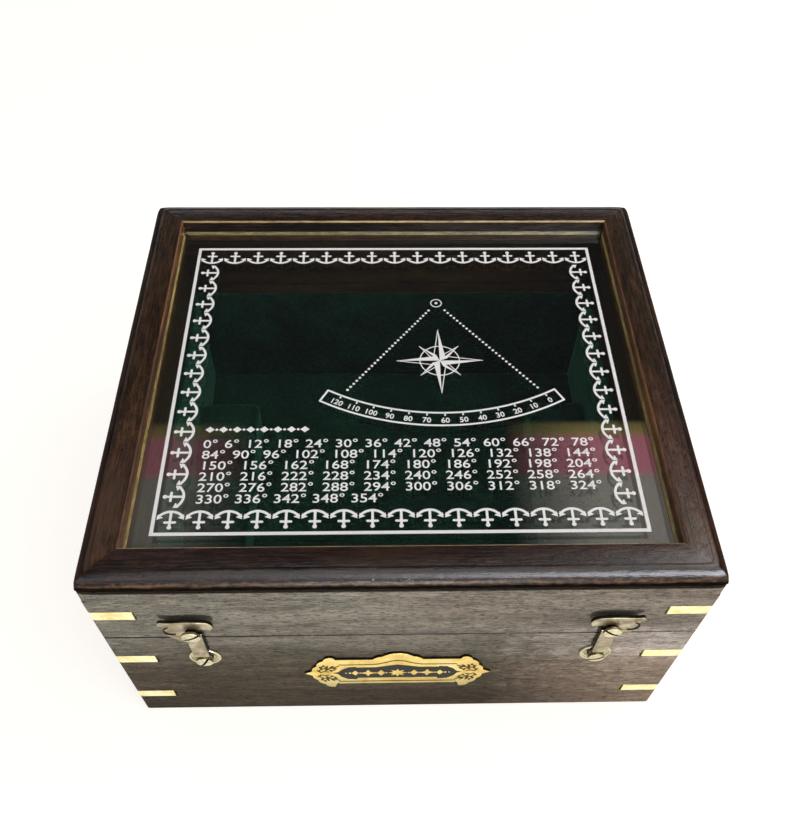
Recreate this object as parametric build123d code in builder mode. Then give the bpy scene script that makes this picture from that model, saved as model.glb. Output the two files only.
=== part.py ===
from build123d import *
import math
import os

# A small hinged instrument case with a glazed lid. Millimetres, +Z up, front towards -Y.
# The origin is the centre of the underside.

# Case
case_width = 165.0
case_depth = 150.0
base_height = 54.0
lid_board_height = 20.7
seam_gap = 0.3
board_thickness = 8.0
case_corner_radius = 1.0
foot_edge_radius = 1.0
seam_edge_chamfer = 0.25

# Bottom panel and velvet
panel_thickness = 4.0
panel_rebate = 4.0
panel_clearance = 0.1
floor_lining_thickness = 1.5
wall_lining_thickness = 1.2
wall_lining_drop = 4.0
lining_clearance = 0.05

# Velvet-covered blocks that carry the instrument
block_width = 22.0
block_length = 64.0
block_height = 18.0
block_edge_radius = 2.0
block_centre_y = 4.0
cradle_radius = 7.0

# Lid frame and its glass
frame_thickness = 10.0
frame_border = 10.4
frame_overhang = 0.2
frame_round_over = 4.0
frame_inner_chamfer = 0.5
glass_thickness = 3.0
glass_recess = 3.4
glass_rebate = 3.5
glass_clearance = 0.25
bead_width = 3.2

# Inlaid brass strips, bent round each corner
strip_thickness = 1.0
strip_height = 4.4
strip_arm = 11.6
strip_end_gap = 0.7
lid_strip_above_lid_floor = 12.8
upper_strip_below_seam = 14.4
lower_strip_above_foot = 13.3

# Nameplate on the base front, described by its right half
plate_thickness = 0.8
plate_centre_x = -0.9
plate_below_seam = 24.7
plate_half_height = 9.8
plate_tip = (27.9, 0.0)
plate_spear = (25.6, 1.7)
plate_spear_hollow = (25.3, 3.7)
plate_shoulder = (24.1, 5.4)
plate_lobe = (23.6, 7.4)
plate_waist = (22.0, 8.9)
plate_waist_hollow = (21.2, 10.6)
plate_peak = (19.2, 11.2)
plate_notch_x = 18.4
plate_crown_foot_x = 7.3
plate_crown_hollow = (6.3, 11.1)
plate_crown_step = (4.6, 11.7)
plate_crown_bulge = (2.3, 13.5)
plate_crown_top = 13.8

# Swing hooks
latch_inset = 26.2
pivot_below_seam = 12.0
catch_radius = 20.2
hook_thickness = 1.0
hook_stand_off = 1.5
hook_heel_stand_off = 0.4
hook_heel_radius = 2.4
crank_start = 2.5
crank_end = 4.3
strap_width = 4.4
notch_clearance = 0.15
notch_end_gap = 0.3
notch_sweep = 30.0

# The left hook's head, measured from the catch screw: x towards the finger, z up
neck_z = -6.6
head_shoulder = (-5.1, -4.1)
head_cheek_low = (-7.0, -1.3)
head_cheek = (-7.3, 0.4)
head_cheek_high = (-6.8, 2.0)
tab_root = (-7.0, 2.9)
tab_low = (-7.6, 3.35)
tab_tip = (-8.3, 4.5)
tab_high = (-7.4, 5.55)
tab_back = (-5.6, 5.3)
head_crown_left = (-4.2, 5.3)
head_crown = (0.5, 5.6)
finger_root = (4.3, 5.2)
finger_tip = (6.0, 3.1)
finger_end = (5.1, 0.8)
finger_inner = (3.5, 0.0)
finger_hollow_z = -2.2

# Screws of the latches and the washer under each hook
pivot_shank_radius = 1.2
pivot_head_radius = 2.35
pivot_head_height = 1.2
catch_shank_radius = 1.3
catch_head_radius = 2.5
catch_head_height = 1.2
catch_head_stand_off = 3.4
slot_angles = {"left": (60.0, 28.0), "right": (21.0, -34.0)}
latch_screw_depth = 6.5
head_edge_height = 0.45
head_clearance = 0.1
running_clearance = 0.05
screw_slot_width = 0.7
screw_slot_depth = 0.5
washer_radius = 4.6
washer_rim_radius = 0.35
washer_rim_height = 0.8
washer_floor = 0.3
washer_bore_clearance = 0.1

# Butt hinges on the back
hinge_inset = 32.5
hinge_length = 26.0
leaf_height = 11.0
leaf_thickness = 1.2
leaf_tongue_overlap = 1.0
knuckle_radius = 2.2
knuckle_count = 5
knuckle_gap = 0.1
knuckle_wall_clearance = 0.1
hinge_pin_radius = 1.0
hinge_pin_overhang = 0.3
leaf_screw_spacing = 16.0
leaf_screw_inset = 4.2
leaf_screw_head_radius = 1.75
leaf_screw_shank_radius = 0.8
leaf_screw_depth = 5.5
leaf_screw_slot_width = 0.5
leaf_slot_first_angle = 15.0
leaf_slot_angle_step = 50.0

# Worked out from the sizes above
inner_width = case_width - 2 * board_thickness
inner_depth = case_depth - 2 * board_thickness
front_face = -case_depth / 2
back_face = case_depth / 2
lid_floor = base_height + seam_gap
frame_floor = lid_floor + lid_board_height
frame_top = frame_floor + frame_thickness
frame_width = case_width + 2 * frame_overhang
frame_depth = case_depth + 2 * frame_overhang
opening_width = case_width - 2 * frame_border
opening_depth = case_depth - 2 * frame_border
glass_top = frame_top - glass_recess
glass_floor = glass_top - glass_thickness
lining_floor = panel_thickness + floor_lining_thickness
lining_top = base_height - wall_lining_drop
lid_strip_height = lid_floor + lid_strip_above_lid_floor
upper_strip_height = base_height - upper_strip_below_seam
plate_centre_z = base_height - plate_below_seam
latch_x = case_width / 2 - latch_inset
pivot_height = base_height - pivot_below_seam
catch_height = pivot_height + catch_radius
hook_front = hook_stand_off + hook_thickness
hinge_x = case_width / 2 - hinge_inset
hinge_axis_y = back_face + knuckle_radius + knuckle_wall_clearance
hinge_axis_z = base_height + seam_gap / 2
mitre_reach = 3 * board_thickness
sides = ("front", "back", "left", "right")

os.makedirs("parts", exist_ok=True)


def save(builder, name):
    builder.part.label = name
    export_step(builder.part, f"parts/{name}.step")
    print(f"{name:28s} {builder.part.volume:10.1f} mm3")


def outward_plane(x, z, face_y, outward):
    """A plane on the front or back face: local x is the radius, local y points out of the face."""
    return Plane(origin=(x, face_y, z), x_dir=(1, 0, 0), z_dir=(0, 0, outward))


def face_plane(x, z, y, outward):
    """A plane parallel to the front or back face, whose normal points out of the case."""
    return Plane(origin=(x, y, z), x_dir=(-outward, 0, 0), z_dir=(0, outward, 0))


def mitre_corners(side):
    """The plan of the wedge that holds one side of a mitred ring."""
    half_x = case_width / 2 + frame_overhang
    half_y = case_depth / 2 + frame_overhang
    near_x = half_x - mitre_reach
    near_y = half_y - mitre_reach
    if side == "front":
        return [(-half_x, -half_y), (half_x, -half_y), (near_x, -near_y), (-near_x, -near_y)]
    if side == "back":
        return [(half_x, half_y), (-half_x, half_y), (-near_x, near_y), (near_x, near_y)]
    if side == "left":
        return [(-half_x, half_y), (-half_x, -half_y), (-near_x, -near_y), (-near_x, near_y)]
    return [(half_x, -half_y), (half_x, half_y), (near_x, near_y), (near_x, -near_y)]


def save_mitred_sides(ring, prefix, suffix):
    """Cuts a finished ring into its four mitred boards."""
    for side in sides:
        with BuildPart() as board:
            add(ring.part)
            with BuildSketch(Plane.XY):
                with BuildLine():
                    Polyline(*mitre_corners(side), close=True)
                make_face()
            extrude(amount=2 * frame_top, mode=Mode.INTERSECT)
        save(board, f"{prefix}_{side}{suffix}")


def corner_strip_band(arm):
    """The plan of four bent strips, one at each corner, each arm running back from the corner."""
    RectangleRounded(case_width, case_depth, case_corner_radius)
    Rectangle(case_width - 2 * strip_thickness, case_depth - 2 * strip_thickness, mode=Mode.SUBTRACT)
    Rectangle(case_width - 2 * arm, 2 * case_depth, mode=Mode.SUBTRACT)
    Rectangle(2 * case_width, case_depth - 2 * arm, mode=Mode.SUBTRACT)


def strip_plan(centre_height, arm):
    """A level's four bent strips in plan, at the underside of the strips."""
    with BuildSketch(Plane.XY.offset(centre_height - strip_height / 2)) as plan:
        corner_strip_band(arm)
    return plan.sketch


def save_corner_strips(centre_height, name):
    with BuildPart() as strips:
        extrude(strip_plan(centre_height, strip_arm), amount=strip_height)
    save(strips, name)


def screw_holes(places, face_y, outward, radius):
    """Round holes for screw shanks, drawn on the front or back face."""
    with BuildSketch(face_plane(0, 0, face_y, outward)) as holes:
        for x, z in places:
            with Locations((-outward * x, z)):
                Circle(radius + running_clearance)
    return holes.sketch


def leaf_screw_places(vertical):
    """Where both hinges' screws stand on one side of the seam."""
    height = hinge_axis_z + vertical * (knuckle_radius + leaf_screw_inset)
    return [(side_sign * hinge_x + screw_sign * leaf_screw_spacing / 2, height)
            for side_sign in (-1, 1) for screw_sign in (-1, 1)]


# Base: a mitred ring of boards, rebated for the bottom panel
with BuildPart() as base_ring:
    with BuildSketch(Plane.XY):
        RectangleRounded(case_width, case_depth, case_corner_radius)
        Rectangle(inner_width, inner_depth, mode=Mode.SUBTRACT)
    extrude(amount=base_height)
    fillet(base_ring.faces().sort_by(Axis.Z)[0].outer_wire().edges(), radius=foot_edge_radius)
    chamfer(base_ring.faces().sort_by(Axis.Z)[-1].outer_wire().edges(), length=seam_edge_chamfer)
    with BuildSketch(Plane.XY):
        Rectangle(inner_width + 2 * panel_rebate, inner_depth + 2 * panel_rebate)
    extrude(amount=panel_thickness, mode=Mode.SUBTRACT)
    for centre_height in (upper_strip_height, lower_strip_above_foot):
        mortises = strip_plan(centre_height, strip_arm + strip_end_gap)
        extrude(mortises, amount=strip_height, mode=Mode.SUBTRACT)
    pivot_holes = screw_holes([(-latch_x, pivot_height), (latch_x, pivot_height)], front_face, -1,
                              pivot_shank_radius)
    extrude(pivot_holes, amount=-latch_screw_depth, mode=Mode.SUBTRACT)
    leaf_holes = screw_holes(leaf_screw_places(-1), back_face, 1, leaf_screw_shank_radius)
    extrude(leaf_holes, amount=-leaf_screw_depth, mode=Mode.SUBTRACT)
save_mitred_sides(base_ring, "base", "_board")

with BuildPart() as bottom_panel:
    with BuildSketch(Plane.XY):
        Rectangle(inner_width + 2 * (panel_rebate - panel_clearance),
                  inner_depth + 2 * (panel_rebate - panel_clearance))
    extrude(amount=panel_thickness)
save(bottom_panel, "bottom_panel")

# Velvet on the floor and on the four inner walls
with BuildPart() as floor_lining:
    with BuildSketch(Plane.XY.offset(panel_thickness)):
        Rectangle(inner_width - 2 * lining_clearance, inner_depth - 2 * lining_clearance)
    extrude(amount=floor_lining_thickness)
save(floor_lining, "floor_lining")

long_lining = inner_width - 2 * lining_clearance
short_lining = inner_depth - 2 * (wall_lining_thickness + lining_clearance)
lining_offset_x = inner_width / 2 - lining_clearance - wall_lining_thickness / 2
lining_offset_y = inner_depth / 2 - lining_clearance - wall_lining_thickness / 2
wall_linings = {
    "front": (0, -lining_offset_y, long_lining, wall_lining_thickness),
    "back": (0, lining_offset_y, long_lining, wall_lining_thickness),
    "left": (-lining_offset_x, 0, wall_lining_thickness, short_lining),
    "right": (lining_offset_x, 0, wall_lining_thickness, short_lining),
}
for side, (x, y, size_x, size_y) in wall_linings.items():
    with BuildPart() as wall_lining:
        with BuildSketch(Plane.XY.offset(lining_floor)):
            with Locations((x, y)):
                Rectangle(size_x, size_y)
        extrude(amount=lining_top - lining_floor)
    save(wall_lining, f"wall_lining_{side}")

# Support blocks, each with a round cradle across its top
block_x = inner_width / 2 - wall_lining_thickness - 2 * lining_clearance - block_width / 2
for side, side_sign in (("left", -1), ("right", 1)):
    with BuildPart() as support_block:
        with BuildSketch(Plane.XY.offset(lining_floor)):
            with Locations((side_sign * block_x, block_centre_y)):
                Rectangle(block_width, block_length)
        extrude(amount=block_height)
        fillet(support_block.faces().sort_by(Axis.Z)[-1].edges(), radius=block_edge_radius)
        with BuildSketch(Plane.YZ.offset(side_sign * block_x)):
            with Locations((block_centre_y, lining_floor + block_height)):
                Circle(cradle_radius)
        extrude(amount=block_width, both=True, mode=Mode.SUBTRACT)
    save(support_block, f"support_block_{side}")

# Brass strips round the corners
save_corner_strips(upper_strip_height, "base_corner_strips_upper")
save_corner_strips(lower_strip_above_foot, "base_corner_strips_lower")
save_corner_strips(lid_strip_height, "lid_corner_strips")

# Lid: a mitred ring of boards under a mitred frame
with BuildPart() as lid_ring:
    with BuildSketch(Plane.XY.offset(lid_floor)):
        RectangleRounded(case_width, case_depth, case_corner_radius)
        Rectangle(inner_width, inner_depth, mode=Mode.SUBTRACT)
    extrude(amount=lid_board_height)
    chamfer(lid_ring.faces().sort_by(Axis.Z)[0].outer_wire().edges(), length=seam_edge_chamfer)
    mortises = strip_plan(lid_strip_height, strip_arm + strip_end_gap)
    extrude(mortises, amount=strip_height, mode=Mode.SUBTRACT)
    catch_holes = screw_holes([(-latch_x, catch_height), (latch_x, catch_height)], front_face, -1,
                              catch_shank_radius)
    extrude(catch_holes, amount=-latch_screw_depth, mode=Mode.SUBTRACT)
    leaf_holes = screw_holes(leaf_screw_places(1), back_face, 1, leaf_screw_shank_radius)
    extrude(leaf_holes, amount=-leaf_screw_depth, mode=Mode.SUBTRACT)
save_mitred_sides(lid_ring, "lid", "_board")

with BuildPart() as frame_ring:
    with BuildSketch(Plane.XY.offset(frame_floor)):
        Rectangle(frame_width, frame_depth)
        Rectangle(opening_width, opening_depth, mode=Mode.SUBTRACT)
    extrude(amount=frame_thickness)
    fillet(frame_ring.faces().sort_by(Axis.Z)[-1].outer_wire().edges(), radius=frame_round_over)
    chamfer(frame_ring.faces().sort_by(Axis.Z)[-1].inner_wires()[0].edges(), length=frame_inner_chamfer)
    with BuildSketch(Plane.XY.offset(frame_floor)):
        Rectangle(opening_width + 2 * glass_rebate, opening_depth + 2 * glass_rebate)
    extrude(amount=glass_top - frame_floor, mode=Mode.SUBTRACT)
save_mitred_sides(frame_ring, "lid_frame", "")

with BuildPart() as glass_pane:
    with BuildSketch(Plane.XY.offset(glass_floor)):
        Rectangle(opening_width + 2 * (glass_rebate - glass_clearance),
                  opening_depth + 2 * (glass_rebate - glass_clearance))
    extrude(amount=glass_thickness)
save(glass_pane, "glass_pane")

# Four mitred beads hold the glass up against the frame
with BuildPart() as glass_beads:
    with BuildSketch(Plane.XY.offset(frame_floor)):
        Rectangle(opening_width + 2 * (glass_rebate - glass_clearance),
                  opening_depth + 2 * (glass_rebate - glass_clearance))
        Rectangle(opening_width + 2 * (glass_rebate - glass_clearance - bead_width),
                  opening_depth + 2 * (glass_rebate - glass_clearance - bead_width), mode=Mode.SUBTRACT)
    extrude(amount=glass_floor - frame_floor)
save_mitred_sides(glass_beads, "glass_bead", "")


# Nameplate: a pointed plate with lobed ends, a straight foot and a crown at the middle of its top
def plate_right_half():
    """The right half of the outline, from the crown's centre round to the foot's centre."""
    with BuildLine() as outline:
        crown_top = (0, plate_crown_top)
        crown_foot = (plate_crown_foot_x, plate_half_height)
        notch = (plate_notch_x, plate_half_height)
        ThreePointArc(crown_top, plate_crown_bulge, plate_crown_step)
        ThreePointArc(plate_crown_step, plate_crown_hollow, crown_foot)
        Polyline(crown_foot, notch, plate_peak)
        ThreePointArc(plate_peak, plate_waist_hollow, plate_waist)
        ThreePointArc(plate_waist, plate_lobe, plate_shoulder)
        ThreePointArc(plate_shoulder, plate_spear_hollow, plate_spear)
        Line(plate_spear, plate_tip)
        tip, spear, spear_hollow, shoulder, lobe, waist, waist_hollow, peak, low_notch = [
            (x, -z) for x, z in (plate_tip, plate_spear, plate_spear_hollow, plate_shoulder, plate_lobe,
                                 plate_waist, plate_waist_hollow, plate_peak, notch)]
        Line(tip, spear)
        ThreePointArc(spear, spear_hollow, shoulder)
        ThreePointArc(shoulder, lobe, waist)
        ThreePointArc(waist, waist_hollow, peak)
        Polyline(peak, low_notch, (0, -plate_half_height), crown_top)
    return outline


with BuildPart() as nameplate:
    with BuildSketch(Plane(origin=(plate_centre_x, front_face, plate_centre_z),
                           x_dir=(1, 0, 0), z_dir=(0, -1, 0))):
        add(plate_right_half().line)
        make_face()
        mirror(about=Plane.YZ)
    extrude(amount=plate_thickness)
save(nameplate, "nameplate")


# Screws
def cap_height(radius, rim, rise):
    """The height at a radius of a round cap that rises by rise inside a circle of radius rim."""
    sphere = (rim**2 + rise**2) / (2 * rise)
    return rise - sphere + math.sqrt(sphere**2 - radius**2)


def round_head_screw(x, z, shank_radius, head_radius, head_base, head_height, slot_angle):
    """A slotted screw with a low domed head, driven into the front face."""
    dome = head_height - head_edge_height
    rim = head_base + head_edge_height
    half = head_radius / 2
    with BuildPart() as screw:
        with BuildSketch(outward_plane(x, z, front_face, -1)):
            with BuildLine():
                Polyline((0, head_base + head_height), (0, -latch_screw_depth),
                         (shank_radius, -latch_screw_depth + shank_radius), (shank_radius, head_base),
                         (head_radius, head_base), (head_radius, rim))
                ThreePointArc((head_radius, rim), (half, rim + cap_height(half, head_radius, dome)),
                              (0, head_base + head_height))
            make_face()
        revolve(axis=Axis((x, front_face, z), (0, -1, 0)))
        with BuildSketch(face_plane(x, z, front_face - head_base - head_height, -1)):
            Rectangle(3 * head_radius, screw_slot_width, rotation=slot_angle)
        extrude(amount=-screw_slot_depth, mode=Mode.SUBTRACT)
    return screw


pivot_head_base = hook_heel_stand_off + hook_thickness + head_clearance
for side, side_sign in (("left", -1), ("right", 1)):
    pivot_slot_angle, catch_slot_angle = slot_angles[side]
    pivot_screw = round_head_screw(side_sign * latch_x, pivot_height, pivot_shank_radius,
                                   pivot_head_radius, pivot_head_base, pivot_head_height,
                                   pivot_slot_angle)
    save(pivot_screw, f"pivot_screw_{side}")
    catch_screw = round_head_screw(side_sign * latch_x, catch_height, catch_shank_radius,
                                   catch_head_radius, catch_head_stand_off, catch_head_height,
                                   catch_slot_angle)
    save(catch_screw, f"catch_screw_{side}")

    # Cup washer: a thin floor and a rolled rim
    rim_centre = washer_radius - washer_rim_radius
    with BuildPart() as washer:
        with BuildSketch(outward_plane(side_sign * latch_x, pivot_height, front_face, -1)):
            inner = pivot_shank_radius + washer_bore_clearance
            with Locations(((inner + rim_centre) / 2, washer_floor / 2)):
                Rectangle(rim_centre - inner, washer_floor)
            with Locations((rim_centre, (washer_rim_height - washer_rim_radius) / 2)):
                Rectangle(2 * washer_rim_radius, washer_rim_height - washer_rim_radius)
            with Locations((rim_centre, washer_rim_height - washer_rim_radius)):
                Circle(washer_rim_radius)
        revolve(axis=Axis((side_sign * latch_x, front_face, pivot_height), (0, -1, 0)))
    save(washer, f"cup_washer_{side}")


# Swing hook: a flat plate with a cranked heel, a thumb tab outside and a finger over the catch
def hook_outline():
    """The left hook in its own plane, with the pivot at the origin and the finger to the right."""
    half_strap = strap_width / 2
    (shoulder, cheek_low, cheek, cheek_high, root, low, tip, high, back, crown_left, crown,
     finger_top, finger_side, finger_bottom, finger_corner) = [
        (x, catch_radius + z) for x, z in (
            head_shoulder, head_cheek_low, head_cheek, head_cheek_high, tab_root, tab_low, tab_tip,
            tab_high, tab_back, head_crown_left, head_crown, finger_root, finger_tip, finger_end,
            finger_inner)]
    neck = (-half_strap, catch_radius + neck_z)
    hollow = (half_strap, catch_radius + finger_hollow_z)
    with BuildLine() as outline:
        Line((-half_strap, 0), neck)
        ThreePointArc(neck, shoulder, cheek_low)
        ThreePointArc(cheek_low, cheek, cheek_high)
        ThreePointArc(cheek_high, root, low)
        ThreePointArc(low, tip, high)
        ThreePointArc(high, back, crown_left)
        Spline(crown_left, crown, finger_top)
        ThreePointArc(finger_top, finger_side, finger_bottom)
        Polyline(finger_bottom, finger_corner, hollow, (half_strap, 0), (-half_strap, 0))
    return outline


def hook_side_profile():
    """The plate seen from the side: the heel lies near the case and the head stands off it."""
    back = [(-2 * hook_heel_radius, hook_heel_stand_off), (crank_start, hook_heel_stand_off),
            (crank_end, hook_stand_off), (2 * catch_radius, hook_stand_off)]
    front = [(height, stand_off + hook_thickness) for height, stand_off in reversed(back)]
    with BuildLine() as outline:
        Polyline(*back, *front, close=True)
    return outline


left_pivot_plane = Plane(origin=(-latch_x, front_face, pivot_height), x_dir=(1, 0, 0), z_dir=(0, -1, 0))
left_side_plane = Plane(origin=(-latch_x, front_face, pivot_height), x_dir=(0, 0, 1), z_dir=(1, 0, 0))
with BuildPart() as hook_left:
    with BuildSketch(left_pivot_plane):
        add(hook_outline().line)
        make_face()
        Circle(hook_heel_radius)
        Circle(pivot_shank_radius + running_clearance, mode=Mode.SUBTRACT)
        with BuildLine(mode=Mode.PRIVATE) as notch_path:
            end_gap_angle = math.degrees(notch_end_gap / catch_radius)
            CenterArc((0, 0), catch_radius, 90 + end_gap_angle, -notch_sweep)
        SlotArc(notch_path.line.edge(), 2 * (catch_shank_radius + notch_clearance), mode=Mode.SUBTRACT)
    extrude(amount=hook_front)
    with BuildSketch(left_side_plane):
        add(hook_side_profile().line)
        make_face()
    extrude(amount=2 * catch_radius, both=True, mode=Mode.INTERSECT)
save(hook_left, "hook_left")

with BuildPart() as hook_right:
    mirror(hook_left.part, about=Plane.YZ)
save(hook_right, "hook_right")


# Butt hinges: the base leaf has the outer knuckles, the lid leaf those between them
def knuckle_centres(first):
    pitch = hinge_length / knuckle_count
    return [(index - (knuckle_count - 1) / 2) * pitch for index in range(first, knuckle_count, 2)]


def hinge_leaf(x, vertical, first_knuckle):
    """One leaf. vertical is -1 for the base's leaf and 1 for the lid's."""
    knuckle_length = hinge_length / knuckle_count - knuckle_gap
    plate_start = knuckle_radius + knuckle_wall_clearance
    plate_centre = hinge_axis_z + vertical * (plate_start + leaf_height) / 2
    tongue_height = plate_start + leaf_tongue_overlap
    tongue_centre = hinge_axis_z + vertical * tongue_height / 2
    screw_height = hinge_axis_z + vertical * (knuckle_radius + leaf_screw_inset)
    with BuildPart() as leaf:
        with BuildSketch(face_plane(x, plate_centre, back_face, 1)):
            Rectangle(hinge_length, leaf_height - plate_start)
        extrude(amount=leaf_thickness)
        for centre in knuckle_centres(first_knuckle):
            with BuildSketch(face_plane(x + centre, tongue_centre, back_face + knuckle_wall_clearance, 1)):
                Rectangle(knuckle_length, tongue_height)
            extrude(amount=leaf_thickness - knuckle_wall_clearance)
            with BuildSketch(Plane.YZ.offset(x + centre - knuckle_length / 2)):
                with Locations((hinge_axis_y, hinge_axis_z)):
                    Circle(knuckle_radius)
            extrude(amount=knuckle_length)
        with BuildSketch(Plane.YZ.offset(x - hinge_length)):
            with Locations((hinge_axis_y, hinge_axis_z)):
                Circle(hinge_pin_radius + running_clearance)
        extrude(amount=2 * hinge_length, mode=Mode.SUBTRACT)
        with Locations(face_plane(x, screw_height, back_face + leaf_thickness, 1)):
            with GridLocations(leaf_screw_spacing, 1, 2, 1):
                CounterSinkHole(leaf_screw_shank_radius + running_clearance,
                                leaf_screw_head_radius + running_clearance, depth=leaf_thickness,
                                counter_sink_angle=90)
    return leaf


def leaf_screws(vertical):
    """The four countersunk screws of both hinges on one side of the seam."""
    neck = leaf_thickness - (leaf_screw_head_radius - leaf_screw_shank_radius)
    with BuildPart() as screws:
        for turn, (x, height) in enumerate(leaf_screw_places(vertical)):
            with BuildSketch(outward_plane(x, height, back_face, 1)):
                with BuildLine():
                    Polyline((0, leaf_thickness), (0, -leaf_screw_depth),
                             (leaf_screw_shank_radius, -leaf_screw_depth + leaf_screw_shank_radius),
                             (leaf_screw_shank_radius, neck),
                             (leaf_screw_head_radius, leaf_thickness), close=True)
                make_face()
            revolve(axis=Axis((x, back_face, height), (0, 1, 0)))
            with BuildSketch(face_plane(x, height, back_face + leaf_thickness, 1)):
                Rectangle(3 * leaf_screw_head_radius, leaf_screw_slot_width,
                          rotation=leaf_slot_first_angle + leaf_slot_angle_step * turn)
            extrude(amount=-screw_slot_depth, mode=Mode.SUBTRACT)
    return screws


for side, side_sign in (("left", -1), ("right", 1)):
    save(hinge_leaf(side_sign * hinge_x, -1, 0), f"hinge_base_leaf_{side}")
    save(hinge_leaf(side_sign * hinge_x, 1, 1), f"hinge_lid_leaf_{side}")
    with BuildPart() as hinge_pin:
        with BuildSketch(Plane.YZ.offset(side_sign * hinge_x - hinge_length / 2 - hinge_pin_overhang)):
            with Locations((hinge_axis_y, hinge_axis_z)):
                Circle(hinge_pin_radius)
        extrude(amount=hinge_length + 2 * hinge_pin_overhang)
    save(hinge_pin, f"hinge_pin_{side}")
save(leaf_screws(-1), "hinge_base_screws")
save(leaf_screws(1), "hinge_lid_screws")
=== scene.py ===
import math

import bmesh
import bpy
from mathutils import Matrix, Vector, geometry, noise


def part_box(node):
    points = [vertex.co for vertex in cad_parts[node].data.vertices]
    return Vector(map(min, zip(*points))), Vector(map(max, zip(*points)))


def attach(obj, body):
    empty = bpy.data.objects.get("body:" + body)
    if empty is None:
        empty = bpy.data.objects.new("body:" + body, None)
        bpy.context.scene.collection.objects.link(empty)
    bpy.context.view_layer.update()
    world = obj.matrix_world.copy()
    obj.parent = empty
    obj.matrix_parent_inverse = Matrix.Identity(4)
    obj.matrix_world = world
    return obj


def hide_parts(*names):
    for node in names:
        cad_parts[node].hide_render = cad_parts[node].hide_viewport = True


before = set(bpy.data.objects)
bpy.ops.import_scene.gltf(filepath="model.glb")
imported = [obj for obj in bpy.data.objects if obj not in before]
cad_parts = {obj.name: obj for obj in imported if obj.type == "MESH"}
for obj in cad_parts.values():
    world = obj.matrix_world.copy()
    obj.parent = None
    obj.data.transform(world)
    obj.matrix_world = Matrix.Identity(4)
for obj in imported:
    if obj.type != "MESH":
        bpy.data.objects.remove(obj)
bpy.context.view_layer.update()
scene = bpy.context.scene
mm = 0.001

# Places read from the frame

caseLow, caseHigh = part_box("base_front_board")
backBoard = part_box("base_back_board")
frontY, backY = caseLow.y, backBoard[1].y
innerX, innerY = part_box("base_right_board")[0].x, backBoard[0].y
seamZ = caseHigh.z
frameLow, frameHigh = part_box("lid_frame_front")
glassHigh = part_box("glass_pane")[1]
halfWidth, halfDepth = frameHigh.x, -frameLow.y
frameTop = frameHigh.z


def placeOf(node):
    low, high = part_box(node)
    return (low + high) / 2


def inMetres(lengths):
    return [length * mm for length in lengths]


def addObject(name, data):
    made = bpy.data.objects.new(name, data)
    scene.collection.objects.link(made)
    return made


# Camera, light and floor

cameraLook = {
    "place": (-6.0787 * mm, -176.0911 * mm, 268.3239 * mm),
    "tilt": 0.9594,  # below the horizon, in radians
    "turn": -0.0374,
    "roll": 0.0228,
    "focalPixels": 841.8,
    "axisRow": 490.0,
    "imageHeight": 817,
    "sensor": 36.0,
}


def placeCamera(look):
    data = bpy.data.cameras.new("camera")
    camera = addObject("camera", data)
    turn = Matrix.Rotation(look["turn"], 3, "Z")
    tilt = look["tilt"]
    ahead = turn @ Vector((0, math.cos(tilt), -math.sin(tilt)))
    up = turn @ Vector((0, math.sin(tilt), math.cos(tilt)))
    right = turn @ Vector((1, 0, 0))
    cosRoll, sinRoll = math.cos(look["roll"]), math.sin(look["roll"])
    rolledRight = cosRoll * right + sinRoll * up
    rolledUp = -sinRoll * right + cosRoll * up
    axes = Matrix((rolledRight, rolledUp, -ahead)).transposed()
    camera.matrix_world = Matrix.LocRotScale(Vector(look["place"]), axes.to_quaternion(), None)
    data.sensor_width = look["sensor"]
    data.lens = look["focalPixels"] * look["sensor"] / look["imageHeight"]
    data.shift_y = (look["axisRow"] - look["imageHeight"] / 2) / look["imageHeight"]
    data.clip_start = 0.01
    data.clip_end = 20
    scene.camera = camera


placeCamera(cameraLook)

lampAim = 0.05  # every lamp is aimed at this height above the middle of the floor
lightLook = {  # place, size and power of each lamp in metres and watts, then its colour
    "overhead": ((0.30, -0.20, 1.10), (1.5, 0.9), 6.5, (1.0, 0.985, 0.95)),
    "front": ((0.04, -1.20, 0.05), (0.18, 0.10), 11.0, (1.0, 0.985, 0.955)),
    "backRight": ((0.66, 0.30, 1.02), (0.40, 0.40), 2.2, (1.0, 0.98, 0.97)),
    "frontRight": ((0.85, -0.80, 0.60), (0.70, 0.70), 3.6, (1.0, 0.98, 0.94)),
    "frontLeft": ((-0.95, -0.60, 0.55), (0.70, 0.70), 2.2, (0.97, 0.98, 1.0)),
}
worldLook = {
    "horizon": (0.92, 0.92, 0.92, 1),
    "middle": (0.05, 0.05, 0.052, 1),
    "top": (0.08, 0.08, 0.085, 1),
    "heights": (0.25, 0.52, 0.90, 1.0),  # sines of the elevations where the four colours meet
    # two pale cards high behind the box; places are slopes, deep or sideways by height
    "cardSlopes": (0.60, 0.85), "cardLowest": 0.5,
    "cardColours": ((0.0, (0.62, 0.57, 0.52)), (0.48, (0.60, 0.53, 0.47)), (0.53, (0.98, 0.33, 0.42)),
                    (0.78, (0.93, 0.31, 0.40)), (0.82, (0.55, 0.40, 0.13)), (0.88, (0.35, 0.28, 0.10)),
                    (0.92, (0.0, 0.0, 0.0))),
    "cardRightFoot": (0.40, 0.56), "cardLeftFoot": (0.58, 0.62),  # slopes over which each card begins
    "litHorizon": 0.5,  # share of the horizon's light that falls on the box
    # a long pale card high in front, seen only in gloss
    "frontSlopes": (-0.42, -0.60, -1.30, -1.75), "frontSides": (-0.10, 0.60), "frontStrength": (1.2, 13.0),
    "frontEnds": (-1.0, -0.7, 1.1, 1.5), "frontColour": (0.86, 0.92, 1.0), "frontLowest": 0.1,
    "cardSides": (0.19, 0.31),  # dark in the middle, pale past these sideways slopes
    "cardRight": 2.7, "cardLeft": 1.3,
}
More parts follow.
